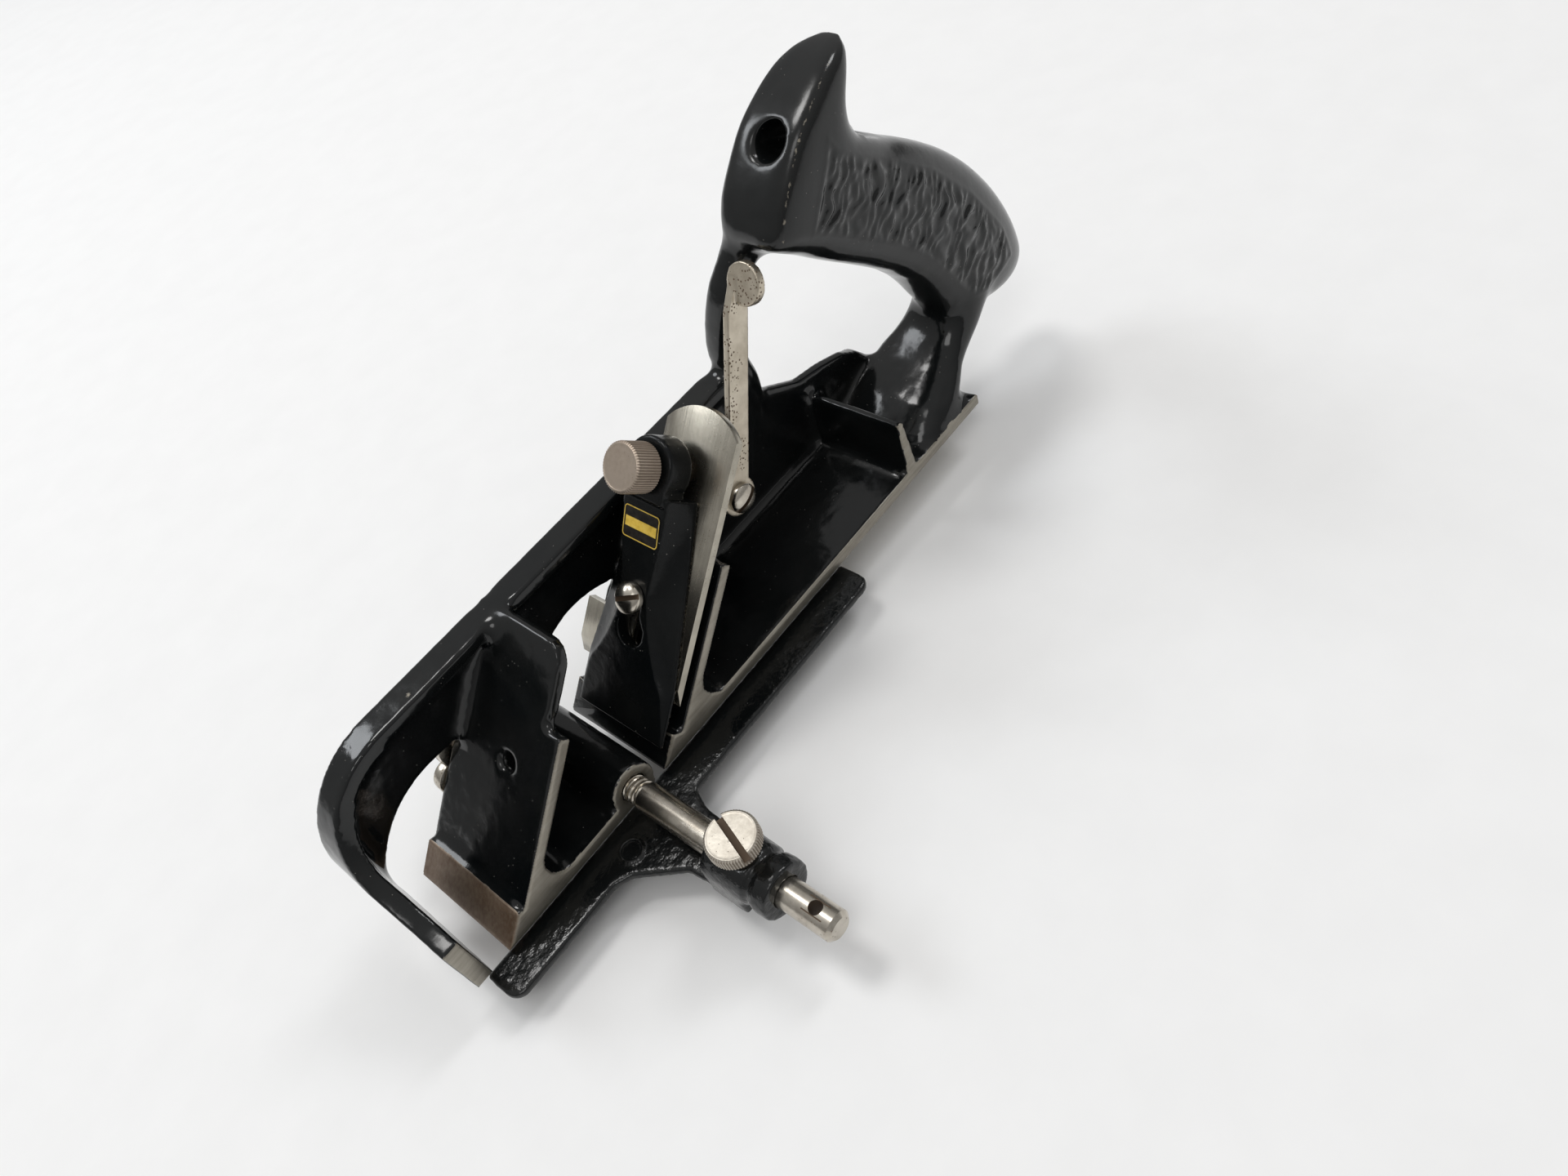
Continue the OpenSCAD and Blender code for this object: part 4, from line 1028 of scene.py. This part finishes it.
labelSet = dict(
    up=62 * mm, lift=10.76 * mm, wide=13.0 * mm, tall=8.7 * mm, corner=1.3 * mm, thick=0.12 * mm,
    border=(0.15 * mm, 0.45 * mm), bandHalf=1.35 * mm, bandInset=0.9 * mm, rows=71, cols=105,
)


def makeLabel(s, cap):
    # rounded slip laid on the sloping panel: dark field, thin gold border and a plain gold band
    tilt = Matrix.Rotation(math.atan(cap["panelSlope"]), 4, "X")
    place = bedPlace(s["up"], cap["middleY"], s["lift"]) @ tilt
    a, b, r = s["wide"] / 2, s["tall"] / 2, s["corner"]
    verts, gold = [], []
    for lift in (s["thick"], 0.0):
        for j in range(s["rows"]):
            for i in range(s["cols"]):
                x, y = a * (2 * i / (s["cols"] - 1) - 1), b * (2 * j / (s["rows"] - 1) - 1)
                over = Vector((max(abs(x) - (a - r), 0), max(abs(y) - (b - r), 0)))
                inset = min(a - abs(x), b - abs(y))
                if over.x > 0 and over.y > 0:
                    over *= max(over.x, over.y) / over.length  # squares the corner block onto its arc
                    x, y = math.copysign(a - r + over.x, x), math.copysign(b - r + over.y, y)
                    inset = r - over.length
                line = s["border"][0] < inset < s["border"][1]
                verts.append(place @ Vector((x, y, lift)))
                gold.append(float(line or (abs(y) < s["bandHalf"] and inset > s["bandInset"])))
    ob = meshPiece("capLabel", verts, slabFaces(s["rows"], s["cols"]))
    setFloat(ob.data, "gold", gold)
    finishPiece(ob, "lever_cap", "japanned_iron", labelPaper)


makeLabel(labelSet, capSet)


# fence, with a small turned disc set in its top
fenceSet = dict(
    voxel=0.5 * mm, most=160000, rough=0.10 * mm, rounds=8, rodAt=(48.2 * mm, 5.5 * mm), boreNear=4.4 * mm,
    bossFrom=45 * mm, guideNear=0.2 * mm, guideFlat=0.6, wearShare=0.7, markEase=0.06, markRough=0.15,
    markAt=(60.2 * mm, 25.83 * mm), markLow=-4 * mm, markNear=4.4 * mm, markTop=3.1 * mm,
    # radius and height of the disc in millimetres, from the face around it
    disc=((0, -1.5), (3.0, -1.5), (3.0, -0.1), (2.85, 0.05), (2.5, 0.05), (2.4, -0.05), (0, -0.05)),
)


def makeFence(s):
    ob = castSkin(nodePiece("fence", "fenceCasting"), s["voxel"])
    me = ob.data
    co, nor, ed = points(me), pointNormals(me), edgePairs(me)
    fromMark = lambda p: np.hypot(p[:, 0] - s["markAt"][0], p[:, 1] - s["markAt"][1])
    guide = (co[:, 1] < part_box("fence")[0][1] + s["guideNear"]) & (nor[:, 1] < -s["guideFlat"])
    bore = np.hypot(co[:, 0] - s["rodAt"][0], co[:, 2] - s["rodAt"][1]) < s["boreNear"]
    still = guide | (bore & (co[:, 1] > s["bossFrom"]))
    onMark = (fromMark(co) < s["markNear"]) & (co[:, 2] > s["markLow"])
    co = relax(co, ed, np.where(onMark, s["markEase"], np.where(still, 0, 0.5)), s["rounds"])
    setPoints(me, co)
    nor = pointNormals(me)
    lump = noiseField(co, 2.2 * mm, 21.0) + 0.7 * noiseField(co, 1.1 * mm, 23.0)
    lump = lump + 0.8 * noiseField(co, 6 * mm, 25.0)
    co = co + nor * (lump * s["rough"] * (1.0 - still) * np.where(onMark, s["markRough"], 1))[:, None]
    setPoints(me, co)
    setFloat(me, "wear", convexEdges(co, pointNormals(me), ed, s["voxel"]) * s["wearShare"])
    thinOut(ob, s["most"])
    solid = points(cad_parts["fence"].data)
    top = solid[fromMark(solid) < s["markTop"]][:, 2].max()
    profile = [(r * mm, top + h * mm) for r, h in s["disc"]]
    disc = lathe("fenceMark", profile, Matrix.Translation((*s["markAt"], 0)))
    smoothShade(ob)
    joinInto(ob, disc)
    finishPiece(ob, "fence", "rough_black_iron", roughBlack, "fence")


makeFence(fenceSet)

# adjusting lever: its strap ends behind the round tab
leverSet = dict(
    voxel=0.28 * mm, most=60000, rounds=5, pivot=(-27 * mm, 0, 31 * mm), lean=-25, tabUp=58.5 * mm,
    strapY=0.35 * mm, endCut=(6 * mm, 8 * mm, 6 * mm), endAt=4.2 * mm, endUp=4.4 * mm,
    sideCut=(10 * mm, 8 * mm, 14.4 * mm), sideAt=3.0 * mm, sideUp=-5.5 * mm, sideLean=-14.3,
)


def makeLever(s):
    ob = nodePiece("adjusting_lever", "adjustingLever")
    place = Matrix.Translation(s["pivot"]) @ turned(s["lean"], "Y")
    end = Matrix.Translation((s["endAt"], s["strapY"], s["tabUp"] + s["endUp"]))
    boxCut(ob, s["endCut"], place @ end)
    side = Matrix.Translation((s["sideAt"], s["strapY"], s["tabUp"] + s["sideUp"]))
    side = side @ turned(s["sideLean"], "Y") @ Matrix.Translation((s["sideCut"][0] / 2, 0, 0))
    boxCut(ob, s["sideCut"], place @ side)
    castSkin(ob, s["voxel"])
    co, ed = points(ob.data), edgePairs(ob.data)
    setPoints(ob.data, relax(co, ed, np.full(len(co), 0.5), s["rounds"]))
    thinOut(ob, s["most"])
    smoothShade(ob)
    finishPiece(ob, "adjusting_lever", "nickel_plate", pittedNickel, "adjusting_lever")


makeLever(leverSet)

# plain pieces: node, piece, body, bevel in millimetres, slot, finish
for nodeName, pieceName, body, width, slotName, mat in (
        ("cutter", "cutterIron", "cutter", 0.14, "tool_steel", toolSteel),
        ("depth_stop", "depthStop", "depth_stop", 0.25, "nickel_plate", nickel),
        ("depth_stop_washer", "depthStopWasher", "depth_stop_screw", 0.12, "nickel_plate", nickel),
        ("spur", "spurWheel", "spur", 0.1, "tool_steel", toolSteel),
        ("spur_screw", "spurScrew", "spur_screw", 0.1, "tool_steel", toolSteel)):
    piece = softEdges(nodeName, pieceName, width * mm)
    finishPiece(piece, body, slotName, mat, nodeName)


# slotted screws with domed heads
domeSet = dict(
    tipBevel=0.4 * mm, edgeShare=0.3, steps=12, sides=72, crease=30,
    slotWide=1.3 * mm, slotLong=30 * mm, slotShare=1.1, darkHalf=0.66 * mm, darkFrom=0.4)
holdSet = dict(
    up=43 * mm, y=2.5 * mm, foot=39.5 * mm, stemRadius=2.5 * mm, headRadius=4.3 * mm, headHeight=3.44 * mm,
    slotTurn=25)
pivotSet = dict(
    at=(-27 * mm, 31 * mm), stemRadius=2.5 * mm, headRadius=4.25 * mm, headHeight=2.975 * mm, slotTurn=20)


def domeScrew(name, s, tip, place, body, nodeName, d=domeSet):
    r, high, tipBevel = s["stemRadius"], s["headHeight"], d["tipBevel"]
    edge = d["edgeShare"] * high
    profile = [(0.0, tip), (r - tipBevel, tip), (r, tip + tipBevel), (r, 0.0), (s["headRadius"], 0.0)]
    for k in range(d["steps"]):
        a = math.radians(90 / d["steps"] * k)
        profile.append((s["headRadius"] * math.cos(a), edge + (high - edge) * math.sin(a)))
    profile.append((0.0, high))
    ob = lathe(name, profile, place, d["sides"])
    turn = turned(s["slotTurn"], "Z")
    slotSize = (d["slotLong"], d["slotWide"], high * d["slotShare"])
    boxCut(ob, slotSize, place @ Matrix.Translation((0, 0, high)) @ turn)
    back = (place @ turn).inverted()
    # the faces inside the slot are coloured darker
    darkenFaces(ob, lambda c: abs((back @ c).y) < d["darkHalf"] and (back @ c).z > d["darkFrom"] * high)
    smoothShade(ob, d["crease"])
    finishPiece(ob, body, "nickel_plate", nickel, nodeName)


co = points(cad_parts["cap_holding_screw"].data)
off = (co[:, 0] - holdSet["foot"] + co[:, 2]) * cos45
seat = off.max() - holdSet["headHeight"]
place = bedPlace(holdSet["up"], holdSet["y"], seat)
domeScrew("capHoldingScrew", holdSet, off.min() - seat, place, "cap_holding_screw", "cap_holding_screw")
low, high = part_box("lever_pivot_screw")
seat = high[1] - pivotSet["headHeight"]
place = Matrix.Translation((pivotSet["at"][0], seat, pivotSet["at"][1])) @ turned(-90, "X")
domeScrew("leverPivotScrew", pivotSet, low[1] - seat, place, "plane_body", "lever_pivot_screw")


# knurled thumb screws
knobSet = dict(
    chamfer=0.45 * mm, toothShare=0.55, rings=11, rimFlat=0.25 * mm, faceEdge=0.5 * mm, tipBevel=0.4 * mm,
    slotLong=30 * mm, crease=30)
capScrewSet = dict(
    radius=6.35 * mm, height=8.0 * mm, dish=0.08 * mm, teeth=56, finish=warmNickel, up=77 * mm, y=2.5 * mm,
    headAt=14 * mm, stemRadius=3.0 * mm, stemLength=11.6 * mm, collar=0.8 * mm, collarRadius=4.0 * mm)
fenceScrewSet = dict(
    radius=6.7 * mm, height=4.0 * mm, dish=0.1 * mm, teeth=60, finish=turnedNickel,
    at=(48.2 * mm, 60.55 * mm, 18.75 * mm), slotTurn=72, slotWide=1.8 * mm, slotDeep=2.0 * mm,
    stemRadius=3.0 * mm, stemLength=9.1 * mm, collar=1.5 * mm, collarRadius=4.5 * mm)
stopScrewSet = dict(
    radius=6.5 * mm, height=6.0 * mm, dish=0.08 * mm, teeth=54, finish=turnedNickel,
    at=(66.5 * mm, -24.65 * mm, 14 * mm), stemRadius=2.5 * mm, collar=1.5 * mm, collarRadius=4.0 * mm)


def knobSlot(ob, s, place, k):
    # slot across the face, dark along its floor
    turn = turned(s["slotTurn"], "Z")
    slotSize = (k["slotLong"], s["slotWide"], s["slotDeep"] * 2)
    boxCut(ob, slotSize, place @ Matrix.Translation((0, 0, s["height"])) @ turn)
    co = points(ob.data) - np.array(s["at"])
    fromMiddle = np.abs(co @ np.array(turn.to_3x3() @ Vector((0, 1, 0))))
    onFloor = np.abs(co[:, 2] - (s["height"] - s["slotDeep"])) < 0.05 * mm
    darkened = np.zeros(len(co))
    ob.data.attributes["recessDark"].data.foreach_get("value", darkened)
    setFloat(ob.data, "recessDark", np.maximum(darkened, (fromMiddle < s["slotWide"] * 0.55) & onFloor))


def makeKnob(name, s, stemLength, place, nodeName, k=knobSet):
    # turned with the underside of the head at z = 0, then knurled and put in place
    radius, height, stem, collar = s["radius"], s["height"], s["stemRadius"], s["collar"]
    tipBevel = k["tipBevel"]
    tooth = k["toothShare"] * math.pi * radius / s["teeth"]
    inner = radius - k["chamfer"] - tooth
    profile = [
        (0.0, -stemLength), (stem - tipBevel, -stemLength), (stem, -stemLength + tipBevel), (stem, -collar),
        (s["collarRadius"], -collar), (s["collarRadius"], 0.0), (inner, 0.0), (radius, k["chamfer"]),
        (radius, height - k["chamfer"]), (inner, height), (inner - k["rimFlat"], height)]
    for i in range(k["rings"]):
        r = (radius - k["chamfer"] - k["faceEdge"]) * (1 - i / k["rings"])
        profile.append((r, height - s["dish"] * (0.5 + 0.5 * (i % 2))))
    profile.append((0.0, height - s["dish"]))
    ob = lathe(name, profile, Matrix.Identity(4), s["teeth"] * 4)
    runTree(ob, knurledRim, Rim_Radius=radius, Tooth_Depth=tooth, Tooth_Count=s["teeth"], Finish=s["finish"])
    placeMesh(ob, place)
    if "slotTurn" in s:
        knobSlot(ob, s, place, k)
    smoothShade(ob, k["crease"])
    finishPiece(ob, nodeName, "nickel_plate", s["finish"], nodeName)


place = bedPlace(capScrewSet["up"], capScrewSet["y"], capScrewSet["headAt"])
makeKnob("capThumbScrew", capScrewSet, capScrewSet["stemLength"], place, "cap_thumb_screw")
place = Matrix.Translation(fenceScrewSet["at"])
makeKnob("fenceThumbScrew", fenceScrewSet, fenceScrewSet["stemLength"], place, "fence_thumb_screw")
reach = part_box("depth_stop_screw")[1][1] - stopScrewSet["at"][1]
place = Matrix.Translation(stopScrewSet["at"]) @ turned(90, "X")
makeKnob("depthStopScrew", stopScrewSet, reach, place, "depth_stop_screw")


# fence rod with its thread
rodSet = dict(
    axis=(48.2 * mm, 5.5 * mm), radius=4.0 * mm, rootRadius=3.25 * mm, tipBevel=0.4 * mm, threadTo=23.3 * mm,
    runOut=0.6 * mm, coilRadius=3.3 * mm, coilFrom=0.5 * mm, ridge=0.42 * mm, pitch=1.1 * mm, bevel=1.0 * mm,
    holeAt=81.05 * mm, holeRadius=1.8 * mm, holeReach=8 * mm, holeRing=3 * mm, darkHalf=3.6 * mm,
    sides=72, crease=34)


def makeRod(s):
    low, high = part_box("fence_rod")
    first, last, r, root, to = low[1], high[1], s["radius"], s["rootRadius"], s["threadTo"]
    x, z = s["axis"]
    tipBevel, ring = s["tipBevel"], s["holeRing"]
    place = Matrix.Translation((x, 0, z)) @ turned(-90, "X")
    profile = [
        (0.0, first), (root - tipBevel, first), (root, first + tipBevel), (root, to), (r, to + s["runOut"]),
        (r, s["holeAt"] - ring), (r, s["holeAt"] + ring), (r, last - s["bevel"]), (r - s["bevel"], last),
        (0.0, last)]
    ob = lathe("fenceRod", profile, place, s["sides"])
    through = pin(s["holeRadius"], -s["holeReach"], s["holeReach"])
    turnedCut(ob, through, Matrix.Translation((x, s["holeAt"], z)))
    # the inside of the cross hole is coloured dark as painted shade
    inHole = lambda c: math.hypot(c.x - x, c.y - s["holeAt"]) < s["holeRadius"] * 1.01
    darkenFaces(ob, lambda c: inHole(c) and abs(c.z - z) < s["darkHalf"])
    coil = meshPiece("rodThread", [], [])
    run = to - first - s["coilFrom"]
    values = dict(Radius=s["coilRadius"], Turns=run / s["pitch"], Length=run, Ridge=s["ridge"], Finish=nickel)
    runTree(coil, screwThread, **values)
    placeMesh(coil, place @ Matrix.Translation((0, 0, first + s["coilFrom"])))
    joinInto(ob, coil)
    smoothShade(ob, s["crease"])
    finishPiece(ob, "fence_rod", "nickel_plate", nickel, "fence_rod")


makeRod(rodSet)
